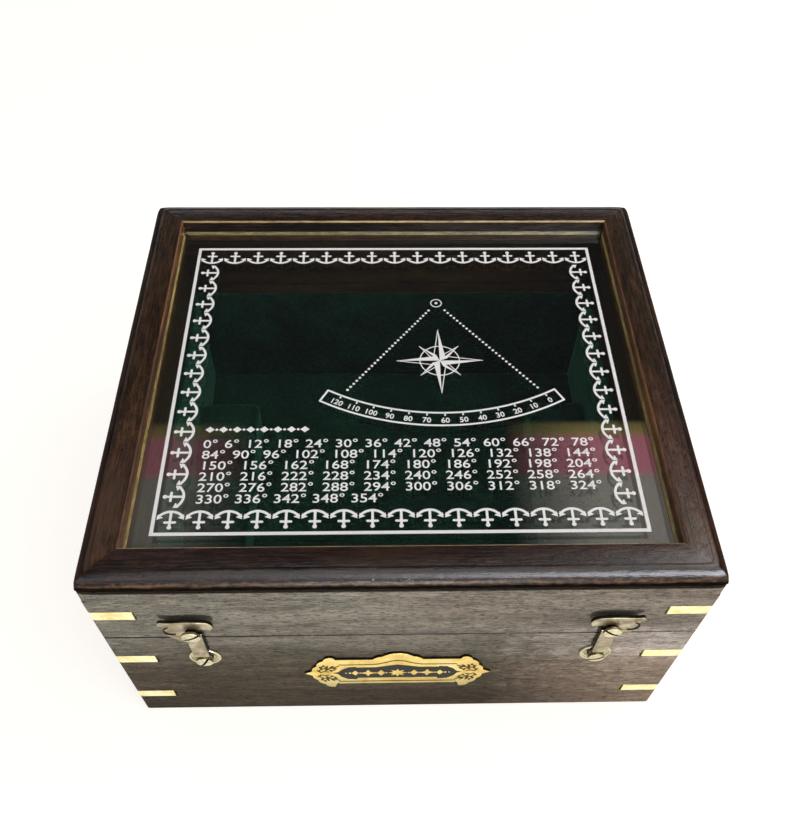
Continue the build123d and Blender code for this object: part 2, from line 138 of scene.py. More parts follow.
floorLook = {
    "size": 8.0, "colour": (0.52, 0.46, 0.375, 1), "lift": 0.76,
    "farLift": 0.94, "nearEdge": 0.5, "farEdge": 2.6,  # the floor pales with distance, up to the sky's colour
}


def link(tree, source, target):
    tree.links.new(source, target)


def addNode(tree, kind, values=None, **settings):
    made = tree.nodes.new(kind)
    for key, value in settings.items():
        setattr(made, key, value)
    for key, value in (values or {}).items():
        if isinstance(value, bpy.types.NodeSocket):
            link(tree, value, made.inputs[key])
        else:
            made.inputs[key].default_value = value
    return made


def addMath(tree, operation, first, second=None, third=None):
    values = {index: value for index, value in enumerate((first, second, third)) if value is not None}
    return addNode(tree, "ShaderNodeMath", values, operation=operation).outputs[0]


def multiply(tree, first, second):
    return addMath(tree, "MULTIPLY", first, second)


def plus(tree, first, second):
    return addMath(tree, "ADD", first, second)


def axisParts(tree, vector):
    return addNode(tree, "ShaderNodeSeparateXYZ", {0: vector}).outputs


def spotParts(tree):
    # x, y and z of the shaded spot in its own piece
    return axisParts(tree, addNode(tree, "ShaderNodeTexCoord").outputs["Object"])


def addRamp(tree, factor, stops):
    ramp = addNode(tree, "ShaderNodeValToRGB", {"Fac": factor})
    elements = ramp.color_ramp.elements
    while len(elements) < len(stops):
        elements.new(0.5)
    for element, (position, colour) in zip(elements, stops):
        element.position = position
        element.color = (*colour[:3], 1)
    return ramp.outputs["Color"]


def mixColour(tree, factor, first, second, mode="MIX"):
    mixer = addNode(tree, "ShaderNodeMix", {"Factor": factor}, data_type="RGBA", blend_type=mode)
    for key, value in (("A", first), ("B", second)):
        socket = [s for s in mixer.inputs if s.name == key and s.type == "RGBA"][0]
        if isinstance(value, bpy.types.NodeSocket):
            link(tree, value, socket)
        else:
            socket.default_value = (*value[:3], 1)
    return [s for s in mixer.outputs if s.type == "RGBA"][0]


def remap(tree, value, low, high, newLow=0.0, newHigh=1.0):
    return addNode(tree, "ShaderNodeMapRange", {
        "Value": value, "From Min": low, "From Max": high, "To Min": newLow, "To Max": newHigh}).outputs[0]


def tintBy(tree, colour, tint, share=1.0):
    return mixColour(tree, share, colour, tint, "MULTIPLY")


def grey(tree, value):
    return addNode(tree, "ShaderNodeCombineColor", {0: value, 1: value, 2: value}).outputs[0]


def seenRays(tree):
    # the kinds of ray, and 1 for rays from the camera, gloss or glass
    rays = addNode(tree, "ShaderNodeLightPath").outputs
    seen = addMath(tree, "MAXIMUM", rays["Is Camera Ray"], rays["Is Glossy Ray"])
    return rays, addMath(tree, "MAXIMUM", seen, rays["Is Transmission Ray"])


def makeLights():
    for name, (spot, size, power, colour) in lightLook.items():
        data = bpy.data.lights.new(name, "AREA")
        data.shape = "RECTANGLE"
        data.size, data.size_y = size
        data.energy = power
        data.color = colour
        lamp = addObject(name, data)
        place = Vector(spot)
        back = (place - Vector((0, 0, lampAim))).normalized()
        across = (Vector((1, 0, 0)) - back * back.x).normalized()
        axes = Matrix((across, back.cross(across), back)).transposed()
        lamp.matrix_world = Matrix.LocRotScale(place, axes.to_quaternion(), None)


def sideCards(tree, look, lean, rise, height):
    near, far = look["cardSides"]
    sides = []
    for first, second, strength, foot in ((near, far, look["cardRight"], look["cardRightFoot"]),
                                          (-near, -far, look["cardLeft"], look["cardLeftFoot"])):
        side = multiply(tree, remap(tree, lean, first, second), strength)
        sides.append(multiply(tree, side, remap(tree, rise, *foot)))
    high = addMath(tree, "GREATER_THAN", height, look["cardLowest"])
    shade = addRamp(tree, remap(tree, rise, *look["cardSlopes"]), look["cardColours"])
    return tintBy(tree, shade, grey(tree, multiply(tree, plus(tree, *sides), high)))


def frontCard(tree, look, lean, rise, height, glossy):
    strength = remap(tree, lean, *look["frontSides"], *look["frontStrength"])
    gloss = multiply(tree, glossy, strength)
    for value, edges in ((rise, look["frontSlopes"]), (lean, look["frontEnds"])):
        for first, second in (edges[:2], edges[:1:-1]):
            gloss = multiply(tree, gloss, remap(tree, value, first, second))
    gloss = multiply(tree, gloss, addMath(tree, "GREATER_THAN", height, look["frontLowest"]))
    return tintBy(tree, grey(tree, gloss), look["frontColour"])


def makeWorld(look):
    world = bpy.data.worlds.new("studio")
    scene.world = world
    world.use_nodes = True
    tree = world.node_tree
    direction = addNode(tree, "ShaderNodeTexCoord").outputs["Generated"]
    sideways, deep, height = axisParts(tree, direction)
    bandEnd, middleStart, middleEnd, zenith = look["heights"]
    sky = addRamp(tree, height, [(bandEnd, look["horizon"]), (middleStart, look["middle"]),
                                 (middleEnd, look["middle"]), (zenith, look["top"])])
    rise = addMath(tree, "DIVIDE", deep, height)
    lean = addMath(tree, "DIVIDE", sideways, height)
    rays, seen = seenRays(tree)
    sky = tintBy(tree, sky, grey(tree, remap(tree, seen, 0.0, 1.0, look["litHorizon"], 1.0)))
    sky = mixColour(tree, 1.0, sky, frontCard(tree, look, lean, rise, height, rays["Is Glossy Ray"]), "ADD")
    both = mixColour(tree, 1.0, sky, sideCards(tree, look, lean, rise, height), "ADD")
    # straight through the glass the sky is plain; light turned back inside the glass still sees the cards
    straight = addMath(tree, "LESS_THAN", rays["Glossy Depth"], 0.5)
    through = multiply(tree, rays["Is Transmission Ray"], straight)
    plain = addMath(tree, "MAXIMUM", rays["Is Camera Ray"], through)
    link(tree, mixColour(tree, plain, both, look["horizon"]), tree.nodes["Background"].inputs["Color"])


def makeFloor(look):
    half = look["size"] / 2
    mesh = bpy.data.meshes.new("floor")
    corners = [(-half, -half, 0), (half, -half, 0), (half, half, 0), (-half, half, 0)]
    mesh.from_pydata(corners, [], [(0, 1, 2, 3)])
    floor = addObject("floor", mesh)
    material = bpy.data.materials.new("paleFloor")
    material.use_nodes = True
    tree = material.node_tree
    shader = tree.nodes["Principled BSDF"]
    shader.inputs["Roughness"].default_value = 1
    shader.inputs["Specular IOR Level"].default_value = 0
    shader.inputs["Emission Color"].default_value = (1, 1, 1, 1)
    seen = seenRays(tree)[1]
    place = addNode(tree, "ShaderNodeTexCoord").outputs["Object"]
    distance = addNode(tree, "ShaderNodeVectorMath", {0: place}, operation="LENGTH").outputs["Value"]
    far = remap(tree, distance, look["nearEdge"], look["farEdge"])
    link(tree, mixColour(tree, far, look["colour"], (0, 0, 0)), shader.inputs["Base Color"])
    lift = remap(tree, far, 0.0, 1.0, look["lift"], look["farLift"])
    link(tree, multiply(tree, seen, lift), shader.inputs["Emission Strength"])
    mesh.materials.append(material)


makeLights()
makeWorld(worldLook)
makeFloor(floorLook)
scene.view_settings.view_transform = "Standard"
print("camera, light and floor: done")


# Materials

def newMaterial(name, constants):
    material = bpy.data.materials.new(name)
    material.use_nodes = True
    tree = material.node_tree
    shader = tree.nodes["Principled BSDF"]
    for key, value in constants.items():
        shader.inputs[key].default_value = value
    return material, tree, shader


def stretchedNoise(tree, sizes, detail=3.0, rough=0.5, distort=0.0, offset=(0, 0, 0)):
    # sizes: how long a feature is along x, y and z, in millimetres
    coordinates = addNode(tree, "ShaderNodeTexCoord").outputs["Object"]
    placed = addNode(tree, "ShaderNodeMapping", {
        "Vector": coordinates, "Scale": [1 / (size * mm) for size in sizes], "Location": offset})
    pattern = addNode(tree, "ShaderNodeTexNoise", {
        "Vector": placed.outputs[0], "Scale": 1.0, "Detail": detail, "Roughness": rough, "Distortion": distort})
    return pattern.outputs["Fac"]


def alongGrain(grain, along, across):
    return [along if axis == grain else across for axis in "xyz"]


def addBump(tree, height, depth, under=None):
    values = {"Height": height, "Distance": depth * mm, "Strength": 1.0}
    if under is not None:
        values["Normal"] = under
    return addNode(tree, "ShaderNodeBump", values).outputs[0]


woodPattern = {
    # each layer: size along and across the grain in millimetres, detail, roughness and distortion
    "figure": ((70, 7), 3, 0.55, 0.8), "fibre": ((9, 0.50), 5, 0.65, 0.2), "mottle": ((5, 2.2), 3, 0.6, 0.4),
    "speck": ((0.55, 0.30), 2, 0.6, 0.0), "plain": (2, 0.5, 0.0),
    "grainShare": 0.62, "mottleShare": 0.20, "speckShare": 0.18, "toneStops": (0.41, 0.50, 0.59),
    "ringWidth": 0.16, "blotchStops": (0.35, 0.68), "poreStops": (0.56, 0.64),
    "wornStops": (0.47, 0.62), "wornShares": (0.6, 0.4),
    "fibreStops": (0.3, 0.7), "roughSpread": 0.07, "poreRough": 0.18, "speckRelief": 0.35, "shadowLineShare": 0.92,
}


def paintedShadeAndLight(tree, look, colour, blotch, mottle):
    # painted shade and painted light: darker towards the foot, paler towards the right of the base, and warmer
    # towards the right of the lid
    sideways, _, height = spotParts(tree)
    # the height, broken up by the blotches, sets the painted shade
    worn = plus(tree, height, multiply(tree, blotch, look["blotchReach"] * mm))
    tones = (look["footShade"], look["waistTone"], look["lidTone"], look["lidTone"])
    toned = addRamp(tree, remap(tree, worn, *inMetres(look["toneHeights"])), list(zip(look["toneStops"], tones)))
    colour = tintBy(tree, colour, toned)
    drift = plus(tree, sideways, multiply(tree, mottle, look["mottleReach"] * mm))
    tones = (look["leftTone"], look["leftTone"], look["rightTone"], look["farTone"])
    paintedShading = addRamp(tree, remap(tree, drift, *inMetres(look["sides"])), list(zip(look["sideStops"], tones)))
    lid = remap(tree, height, *inMetres(look["lidFade"]))
    warmed = mixColour(tree, remap(tree, drift, *inMetres(look["lidSides"])), (1, 1, 1), look["lidRight"])
    return tintBy(tree, colour, mixColour(tree, lid, paintedShading, warmed))


def woodMaterial(name, grain, look):
    material, tree, shader = newMaterial(name, {
        "Specular IOR Level": look["shine"], "Coat Weight": look["varnish"],
        "Coat Roughness": look["varnishRoughness"]})
    base = woodPattern

    def layer(size, *settings):
        return stretchedNoise(tree, alongGrain(grain, *size), *settings, look["offset"])

    figure, fibre, mottle, speck = (layer(*base[kind]) for kind in ("figure", "fibre", "mottle", "speck"))
    pores, blotch = (layer(look[kind], *base["plain"]) for kind in ("poreSize", "blotchSize"))
    rings = addMath(tree, "PINGPONG", multiply(tree, figure, look["ringCount"]), 0.5)
    ringLine = remap(tree, rings, 0.0, base["ringWidth"], 1.0, 0.0)
    shares = [multiply(tree, part, share) for part, share in (
        (figure, look["figure"]), (fibre, base["grainShare"] - look["figure"]),
        (mottle, base["mottleShare"]), (speck, base["speckShare"]))]
    mixed = plus(tree, plus(tree, *shares[:2]), plus(tree, *shares[2:]))
    tones = (look["dark"], look["middle"], look["light"])
    colour = addRamp(tree, mixed, list(zip(base["toneStops"], tones)))
    colour = mixColour(tree, multiply(tree, ringLine, look["ringDepth"]), colour, look["dark"])
    stained = remap(tree, blotch, *base["blotchStops"], 0.0, look["blotch"])
    colour = tintBy(tree, colour, look["tint"], stained)
    poreMask = remap(tree, pores, *base["poreStops"])
    final = mixColour(tree, multiply(tree, poreMask, look["poreDepth"]), colour, look["pore"])
    if "worn" in look:
        # thin varnish: paler wood shows through in patches, broken up by the grain
        wide, narrow = base["wornShares"]
        patch = plus(tree, multiply(tree, blotch, wide), multiply(tree, fibre, narrow))
        final = mixColour(tree, remap(tree, patch, *base["wornStops"], 0.0, look["wornDepth"]), final, look["worn"])
    if "footShade" in look:
        # painted shade towards the foot and painted light towards the right
        final = paintedShadeAndLight(tree, look, final, blotch, mottle)
    if "shadowLinePlace" in look:
        # painted shadow: a ragged dark line without varnish where the rounding meets the upright face
        rise = spotParts(tree)[2]
        ragged = plus(tree, rise, multiply(tree, fibre, look["shadowLineRagged"] * mm))
        line = remap(tree, ragged, *inMetres(look["shadowLinePlace"]), 0.0, base["shadowLineShare"])
        final = mixColour(tree, line, final, look["shadowLineColour"])
        link(tree, remap(tree, line, 0.0, 1.0, look["varnish"], 0.0), shader.inputs["Coat Weight"])
    link(tree, final, shader.inputs["Base Color"])
    smoothest, roughest = look["roughness"] - base["roughSpread"], look["roughness"] + base["roughSpread"]
    rough = remap(tree, fibre, *base["fibreStops"], smoothest, roughest)
    link(tree, plus(tree, rough, multiply(tree, poreMask, base["poreRough"])), shader.inputs["Roughness"])
    wavy = addBump(tree, mottle, look["ripple"])
    fine = addBump(tree, fibre, look["fibreRelief"], wavy)
    dented = addBump(tree, addMath(tree, "SUBTRACT", 1.0, poreMask), look["poreRelief"], fine)
    link(tree, dented, shader.inputs["Normal"])
    streaked = addBump(tree, fibre, look["coatRelief"], wavy)
    pitted = addBump(tree, speck, look["coatRelief"] * base["speckRelief"], streaked)
    link(tree, pitted, shader.inputs["Coat Normal"])
    return material


caseWood = {
    "dark": (0.095, 0.083, 0.068), "middle": (0.185, 0.162, 0.136), "light": (0.290, 0.255, 0.215),
    "tint": (0.84, 0.76, 0.76), "blotch": 0.7, "blotchSize": (34, 18), "figure": 0.24,
    "pore": (0.030, 0.023, 0.019), "poreDepth": 0.85, "poreSize": (1.9, 0.22), "ringCount": 9.0, "ringDepth": 0.30,
    "shine": 0.0, "varnish": 0.14, "varnishRoughness": 0.42, "roughness": 0.52,
    "fibreRelief": 0.05, "poreRelief": 0.06, "ripple": 0.04, "coatRelief": 0.02, "offset": (0.3, 0.1, 0.7),
    # painted shade and light up the case and across it, darkest at the foot and palest to the right; the places are
    # in millimetres
    "footShade": (0.25, 0.21, 0.17), "waistTone": (0.46, 0.41, 0.35), "lidTone": (0.98, 1.06, 1.06),
    "toneHeights": (0, 88), "toneStops": (0.10, 0.45, 0.74, 1.0), "blotchReach": 14,
    "leftTone": (0.82, 0.87, 0.87), "rightTone": (1.85, 1.90, 2.10), "farTone": (3.3, 3.4, 3.75),
    "sides": (-60, 95), "sideStops": (0.0, 0.66, 0.77, 0.94), "mottleReach": 30,
    "lidFade": (40, 60), "lidSides": (0, 70), "lidRight": (1.0, 0.935, 0.935),
    # a painted shadow line under the frame's rounding
    "shadowLinePlace": (79.2, 79.8), "shadowLineRagged": 0.8, "shadowLineColour": (0.004, 0.003, 0.0022),
}
frameWood = {
    "dark": (0.0015, 0.0006, 0.0004), "middle": (0.0085, 0.0032, 0.0018), "light": (0.062, 0.024, 0.012),
    "tint": (0.75, 0.50, 0.45), "blotch": 0.8, "blotchSize": (34, 18), "figure": 0.26,
    "pore": (0.002, 0.001, 0.001), "poreDepth": 0.75, "poreSize": (2.4, 0.22), "ringCount": 6.0, "ringDepth": 0.3,
    "shine": 0.06, "varnish": 1.0, "varnishRoughness": 0.17, "roughness": 0.42,
    "fibreRelief": 0.035, "poreRelief": 0.03, "ripple": 0.12, "coatRelief": 0.055, "offset": (1.3, 2.1, 0.2),
    "worn": (0.036, 0.019, 0.012), "wornDepth": 0.70,
}
# the lower front rounding: duller varnish, wood a shade paler as a painted warm sheen, and a painted shadow line at
# its foot
edgeWood = {
    **frameWood,
    "dark": (0.004, 0.0018, 0.0012), "middle": (0.018, 0.0072, 0.0040), "light": (0.085, 0.040, 0.018),
    "blotchSize": (2.0, 1.2), "shine": 0.0, "varnish": 0.35, "varnishRoughness": 0.34, "roughness": 0.50,
    "ripple": 0.14, "coatRelief": 0.05, "worn": (0.120, 0.070, 0.033),
    "shadowLinePlace": (83.1, 82.3), "shadowLineRagged": 0.8, "shadowLineColour": (0.0015, 0.0010, 0.0008),
}
# the lower rounding of the other three members: duller varnish and a painted shadow line at its foot
dullWood = {
    **frameWood, "shine": 0.0, "varnish": 0.10, "varnishRoughness": 0.30,
    "shadowLinePlace": (82.6, 81.8), "shadowLineRagged": 0.8, "shadowLineColour": (0.0015, 0.0010, 0.0008),
}
sideWood = {
    **frameWood,
    "dark": (0.006, 0.0032, 0.0010), "middle": (0.024, 0.0122, 0.0042), "light": (0.088, 0.044, 0.017),
    "varnish": 0.75, "worn": (0.060, 0.034, 0.016),
}
innerWood = {
    "dark": (0.035, 0.014, 0.005), "middle": (0.105, 0.042, 0.014), "light": (0.220, 0.096, 0.030),
    "tint": (0.75, 0.62, 0.50), "blotch": 0.6, "blotchSize": (34, 18), "figure": 0.34,
    "pore": (0.030, 0.014, 0.008), "poreDepth": 0.6, "poreSize": (3.2, 0.22), "ringCount": 6.0, "ringDepth": 0.3,
    "shine": 0.3, "varnish": 0.3, "varnishRoughness": 0.25, "roughness": 0.38,
    "fibreRelief": 0.04, "poreRelief": 0.03, "ripple": 0.03, "coatRelief": 0.02, "offset": (2.3, 0.4, 1.2),
}
linedWood = {
    **innerWood, "dark": (0.010, 0.005, 0.002), "middle": (0.026, 0.013, 0.005), "light": (0.056, 0.030, 0.012),
    "varnish": 0.1, "offset": (1.9, 0.6, 2.2),
}
# pale gold wood: a painted highlight on the bevels of the glass beads and along the inner arris of the front and
# back members
highlightWood = {
    **innerWood, "dark": (0.17, 0.11, 0.032), "middle": (0.38, 0.26, 0.09), "light": (0.60, 0.45, 0.18),
    "varnish": 0.6, "offset": (0.7, 1.9, 0.4),
}
panelWood = {
    **innerWood, "dark": (0.10, 0.060, 0.032), "middle": (0.21, 0.135, 0.075), "light": (0.32, 0.22, 0.13),
    "varnish": 0.0, "roughness": 0.62, "offset": (3.7, 0.9, 2.4),
}
woods = {}
for kind, look in (("case", caseWood), ("frame", frameWood), ("edge", edgeWood), ("dull", dullWood),
                   ("inner", innerWood), ("lined", linedWood), ("bead", highlightWood), ("panel", panelWood)):
    for grain in "xy":
        chosen = sideWood if (kind, grain) == ("frame", "y") else look
        woods[kind, grain] = woodMaterial(f"{kind}Wood{grain.upper()}", grain, chosen)


brassPattern = {
    # each layer: detail, roughness and distortion
    "patches": (4, 0.6, 0.6), "specks": (3, 0.6, 0.0), "brushed": (3, 0.6, 0.0), "speckSize": (0.9, 0.9, 0.9),
    "toneStops": (0.32, 0.52, 0.70), "speckStops": (0.60, 0.72), "patchStops": (0.3, 0.7),
    "deepRough": 0.08, "paleRough": -0.05, "speckRough": 0.25,
}


def brassMaterial(name, look):
    material, tree, shader = newMaterial(name, {"Metallic": 1.0, "Specular IOR Level": 0.5})
    base = brassPattern
    patches = stretchedNoise(tree, (look["patch"],) * 3, *base["patches"], look["offset"])
    specks = stretchedNoise(tree, base["speckSize"], *base["specks"], look["offset"])
    brushed = stretchedNoise(tree, look["brush"], *base["brushed"], look["offset"])
    tones = (look["deep"], look["body"], look["pale"])
    colour = addRamp(tree, patches, list(zip(base["toneStops"], tones)))
    spotted = remap(tree, specks, *base["speckStops"], 0.0, look["specks"])
    colour = mixColour(tree, spotted, colour, look["tarnish"])
    # painted shade: darker towards the bottom
    if "footShade" in look:
        paintedShading = remap(tree, spotParts(tree)[2], *inMetres(look["footFade"]))
        colour = tintBy(tree, colour, mixColour(tree, paintedShading, look["footShade"], (1, 1, 1)))
    link(tree, colour, shader.inputs["Base Color"])
    deepest, palest = look["roughness"] + base["deepRough"], look["roughness"] + base["paleRough"]
    rough = remap(tree, patches, *base["patchStops"], deepest, palest)
    link(tree, plus(tree, rough, multiply(tree, spotted, base["speckRough"])), shader.inputs["Roughness"])
    scratched = addBump(tree, brushed, look["scratch"])
    link(tree, addBump(tree, specks, look["pit"], scratched), shader.inputs["Normal"])
    return material


stripBrass = brassMaterial("stripBrass", {
    "deep": (0.74, 0.62, 0.26), "body": (0.92, 0.85, 0.45), "pale": (0.97, 0.95, 0.66),
    "tarnish": (0.40, 0.30, 0.11), "patch": 5.0, "brush": (6, 6, 0.10), "specks": 0.35, "roughness": 0.34,
    "scratch": 0.010, "pit": 0.006, "offset": (0.1, 0.2, 0.3)})
plateBrass = brassMaterial("plateBrass", {
    "deep": (0.66, 0.45, 0.10), "body": (0.86, 0.655, 0.185), "pale": (0.94, 0.78, 0.31),
    "tarnish": (0.36, 0.22, 0.05), "patch": 7.0, "brush": (4, 4, 0.12), "specks": 0.25, "roughness": 0.30,
    "scratch": 0.006, "pit": 0.008, "offset": (1.1, 0.2, 0.3),
    # painted shade over the lower part of the plate
    "footShade": (0.60, 0.62, 0.72), "footFade": (21.0, 29.0)})
hookBrass = brassMaterial("hookBrass", {
    "deep": (0.17, 0.135, 0.08), "body": (0.34, 0.295, 0.195), "pale": (0.58, 0.53, 0.38),
    "tarnish": (0.07, 0.052, 0.028), "patch": 4.0, "brush": (0.2, 3, 5), "specks": 0.45, "roughness": 0.38,
    "scratch": 0.010, "pit": 0.012, "offset": (2.1, 0.2, 0.3)})
patinaAndShade = brassMaterial("patinaAndShade", {
    "deep": (0.010, 0.008, 0.006), "body": (0.022, 0.017, 0.012), "pale": (0.050, 0.038, 0.024),
    "tarnish": (0.006, 0.005, 0.004), "patch": 3.0, "brush": (0.3, 3, 3), "specks": 0.5, "roughness": 0.55,
    "scratch": 0.010, "pit": 0.012, "offset": (2.9, 0.2, 0.3)})
# darker brass for the sides of the screw heads: painted shade
sideShadeBrass = brassMaterial("sideShadeBrass", {
    "deep": (0.075, 0.060, 0.030), "body": (0.150, 0.125, 0.065), "pale": (0.300, 0.260, 0.150),
    "tarnish": (0.030, 0.022, 0.012), "patch": 2.0, "brush": (0.2, 2, 3), "specks": 0.45, "roughness": 0.42,
    "scratch": 0.010, "pit": 0.012, "offset": (1.6, 0.9, 0.3)})
screwBrass = brassMaterial("screwBrass", {
    "deep": (0.40, 0.36, 0.21), "body": (0.58, 0.54, 0.35), "pale": (0.78, 0.74, 0.54),
    "tarnish": (0.15, 0.12, 0.06), "patch": 2.5, "brush": (3, 3, 0.08), "specks": 0.4, "roughness": 0.30,
    "scratch": 0.008, "pit": 0.008, "offset": (3.1, 0.2, 0.3)})
hingeBrass = brassMaterial("hingeBrass", {
    "deep": (0.42, 0.30, 0.12), "body": (0.60, 0.46, 0.22), "pale": (0.76, 0.63, 0.36),
    "tarnish": (0.16, 0.10, 0.04), "patch": 6.0, "brush": (5, 5, 0.15), "specks": 0.4, "roughness": 0.34,
    "scratch": 0.010, "pit": 0.010, "offset": (4.1, 0.2, 0.3)})


enamelPattern = {"mottleSize": (1.6, 1.6, 1.6), "grainSize": (0.25, 0.25, 0.25), "toneStops": (0.35, 0.75),
                 "roughStops": (0.3, 0.7), "roughSpread": 0.15, "relief": 0.004}


def enamelMaterial(name, colour, wear, roughness, shine):
    material, tree, shader = newMaterial(name, {"Specular IOR Level": shine})
    base = enamelPattern
    mottled = stretchedNoise(tree, base["mottleSize"], 4, 0.6)
    grainy = stretchedNoise(tree, base["grainSize"], 2, 0.5)
    link(tree, addRamp(tree, mottled, list(zip(base["toneStops"], (colour, wear)))), shader.inputs["Base Color"])
    rough = remap(tree, mottled, *base["roughStops"], roughness, roughness + base["roughSpread"])
    link(tree, rough, shader.inputs["Roughness"])
    link(tree, addBump(tree, grainy, base["relief"]), shader.inputs["Normal"])
    return material


blackEnamel = enamelMaterial("blackEnamel", (0.006, 0.006, 0.0055), (0.016, 0.015, 0.0135), 0.42, 0.12)
engravedBrown = enamelMaterial("engravedBrown", (0.034, 0.024, 0.010), (0.070, 0.050, 0.020), 0.55, 0.08)
whiteInk = enamelMaterial("whiteInk", (0.93, 0.94, 0.94), (0.85, 0.87, 0.87), 0.50, 0.40)

pileLook = {
    "dark": (0.001, 0.006, 0.0035), "body": (0.002, 0.018, 0.011), "light": (0.006, 0.040, 0.025),
    "toneStops": (0.38, 0.50, 0.64), "sheen": (0.16, 0.62, 0.40, 1),
    # each layer: size in millimetres, detail, roughness, distortion and share of the tone
    "crushed": (18, 2, 0.5, 0.5, 0.30), "tufts": (1.3, 3, 0.65, 0.0, 0.40), "pile": (0.30, 3, 0.7, 0.0, 0.30),
    "tuftRelief": 0.22, "pileRelief": 0.14,
}


def velvetMaterial(look):
    material, tree, shader = newMaterial("greenVelvet", {
        "Roughness": 0.95, "Specular IOR Level": 0.08, "Sheen Weight": 0.30, "Sheen Roughness": 0.32,
        "Sheen Tint": look["sheen"]})
    layers, shares = [], []
    for size, detail, rough, distort, share in (look["crushed"], look["tufts"], look["pile"]):
        layers.append(stretchedNoise(tree, (size,) * 3, detail, rough, distort))
        shares.append(multiply(tree, layers[-1], share))
    mixed = plus(tree, plus(tree, *shares[:2]), shares[2])
    tones = (look["dark"], look["body"], look["light"])
    link(tree, addRamp(tree, mixed, list(zip(look["toneStops"], tones))), shader.inputs["Base Color"])
    soft = addBump(tree, layers[1], look["tuftRelief"])
    link(tree, addBump(tree, layers[2], look["pileRelief"], soft), shader.inputs["Normal"])
    return material


paneLook = {
    "colour": (0.90, 0.955, 0.93, 1), "shadow": (0.90, 0.95, 0.93, 1), "smudgeSize": (26, 11, 20),
    "smudgeStops": (0.55, 0.80), "smudgeRough": 0.03,
}


def glassMaterial(look):
    material, tree, shader = newMaterial("paneGlass", {
        "Base Color": look["colour"], "Transmission Weight": 1.0, "IOR": 1.5, "Roughness": 0.0})
    smudge = stretchedNoise(tree, look["smudgeSize"], 4, 0.6, 0.8)
    rough = remap(tree, smudge, *look["smudgeStops"], 0.0, look["smudgeRough"])
    link(tree, rough, shader.inputs["Roughness"])
    # shadow rays pass straight through
    clear = addNode(tree, "ShaderNodeBsdfTransparent", {"Color": look["shadow"]})
    rays = addNode(tree, "ShaderNodeLightPath").outputs
    either = addNode(tree, "ShaderNodeMixShader", {0: rays["Is Shadow Ray"]})
    link(tree, shader.outputs[0], either.inputs[1])
    link(tree, clear.outputs[0], either.inputs[2])
    link(tree, either.outputs[0], tree.nodes["Material Output"].inputs["Surface"])
    return material


greenVelvet = velvetMaterial(pileLook)
paneGlass = glassMaterial(paneLook)
print("materials: done")


# Shared making tools

flatArea = 12 * mm * mm


def makePiece(name, mesh, body, materials=(), sharpest=35):
    piece = addObject(name, mesh)
    for material in materials:
        mesh.materials.append(material)
    mesh.set_sharp_from_angle(angle=math.radians(sharpest))
    for polygon in mesh.polygons:
        polygon.use_smooth = polygon.area < flatArea  # a large flat face keeps its own direction
    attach(piece, body)
    return piece


def loaded(mesh):
    builder = bmesh.new()
    builder.from_mesh(mesh)
    return builder


def stored(builder, mesh):
    builder.to_mesh(mesh)
    builder.free()
    return mesh


def meshFrom(name, builder):
    return stored(builder, bpy.data.meshes.new(name))


def weld(builder, reach):
    bmesh.ops.remove_doubles(builder, verts=builder.verts, dist=reach)


def faceOutward(builder):
    bmesh.ops.recalc_face_normals(builder, faces=builder.faces)


def evaluatedMesh(holder):
    # the holder's mesh with its modifiers applied; the holder goes
    bpy.context.view_layer.update()
    graph = bpy.context.evaluated_depsgraph_get()
    mesh = bpy.data.meshes.new_from_object(holder.evaluated_get(graph), depsgraph=graph)
    bpy.data.objects.remove(holder)
    return mesh


def mergedCopy(nodeName):
    # the node's loose triangles, joined into clean flat faces
    builder = loaded(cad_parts[nodeName].data)
    weld(builder, 0.002 * mm)
    bmesh.ops.dissolve_degenerate(builder, edges=builder.edges, dist=0.001 * mm)
    bmesh.ops.dissolve_limit(builder, angle_limit=math.radians(0.6), verts=builder.verts, edges=builder.edges,
                             delimit={"NORMAL"})
    return builder


def bevelSharp(builder, width, segments=2, sharpest=32):
    edges = [edge for edge in builder.edges
             if len(edge.link_faces) == 2 and edge.calc_face_angle(0) > math.radians(sharpest)]
    bmesh.ops.bevel(builder, geom=edges, offset=width * mm, offset_type="OFFSET", segments=segments,
                    profile=0.5, affect="EDGES", clamp_overlap=True, material=-1)


def refine(nodeName, body, width, materials, pick=None, segments=2, sharpest=35):
    builder = mergedCopy(nodeName)
    bevelSharp(builder, width, segments)
    for face in builder.faces:
        face.material_index = pick(face) if pick else 0
    mesh = meshFrom(nodeName, builder)
    for attribute in [a for a in mesh.attributes if a.name in ("custom_normal", "UVMap")]:
        mesh.attributes.remove(attribute)
    piece = makePiece(nodeName + "_finished", mesh, body, materials, sharpest)
    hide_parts(nodeName)
    return piece


def unitedPolygons(polygons):
    # one flat triangulated sheet under several overlapping polygons
    points, faces = [], []
    for polygon in polygons:
        start = len(points)
        turned = sum(ax * by - bx * ay for (ax, ay), (bx, by) in zip(polygon, polygon[1:] + polygon[:1]))
        points += [Vector(point) for point in (polygon if turned > 0 else reversed(polygon))]
        faces.append(list(range(start, start + len(polygon))))
    made = geometry.delaunay_2d_cdt(points, [], faces, 0, 1e-8, True)
    return made[0], [face for face, sources in zip(made[2], made[5]) if sources]


def flatSolid(polygons, low, high):
    # a thin closed solid over the united polygons, lying flat, between two heights
    points, faces = unitedPolygons(polygons)
    builder = bmesh.new()
    verts = [builder.verts.new((point.x, point.y, low)) for point in points]
    for face in faces:
        if len(face) > 2:
            builder.faces.new([verts[index] for index in face])
    bmesh.ops.delete(builder, geom=[v for v in builder.verts if not v.link_faces], context="VERTS")
    bmesh.ops.dissolve_limit(builder, angle_limit=0.01, verts=builder.verts, edges=builder.edges)
    grown = bmesh.ops.extrude_face_region(builder, geom=list(builder.faces))
    moved = [item for item in grown["geom"] if isinstance(item, bmesh.types.BMVert)]
    bmesh.ops.translate(builder, verts=moved, vec=(0, 0, high - low))
    faceOutward(builder)
    return builder


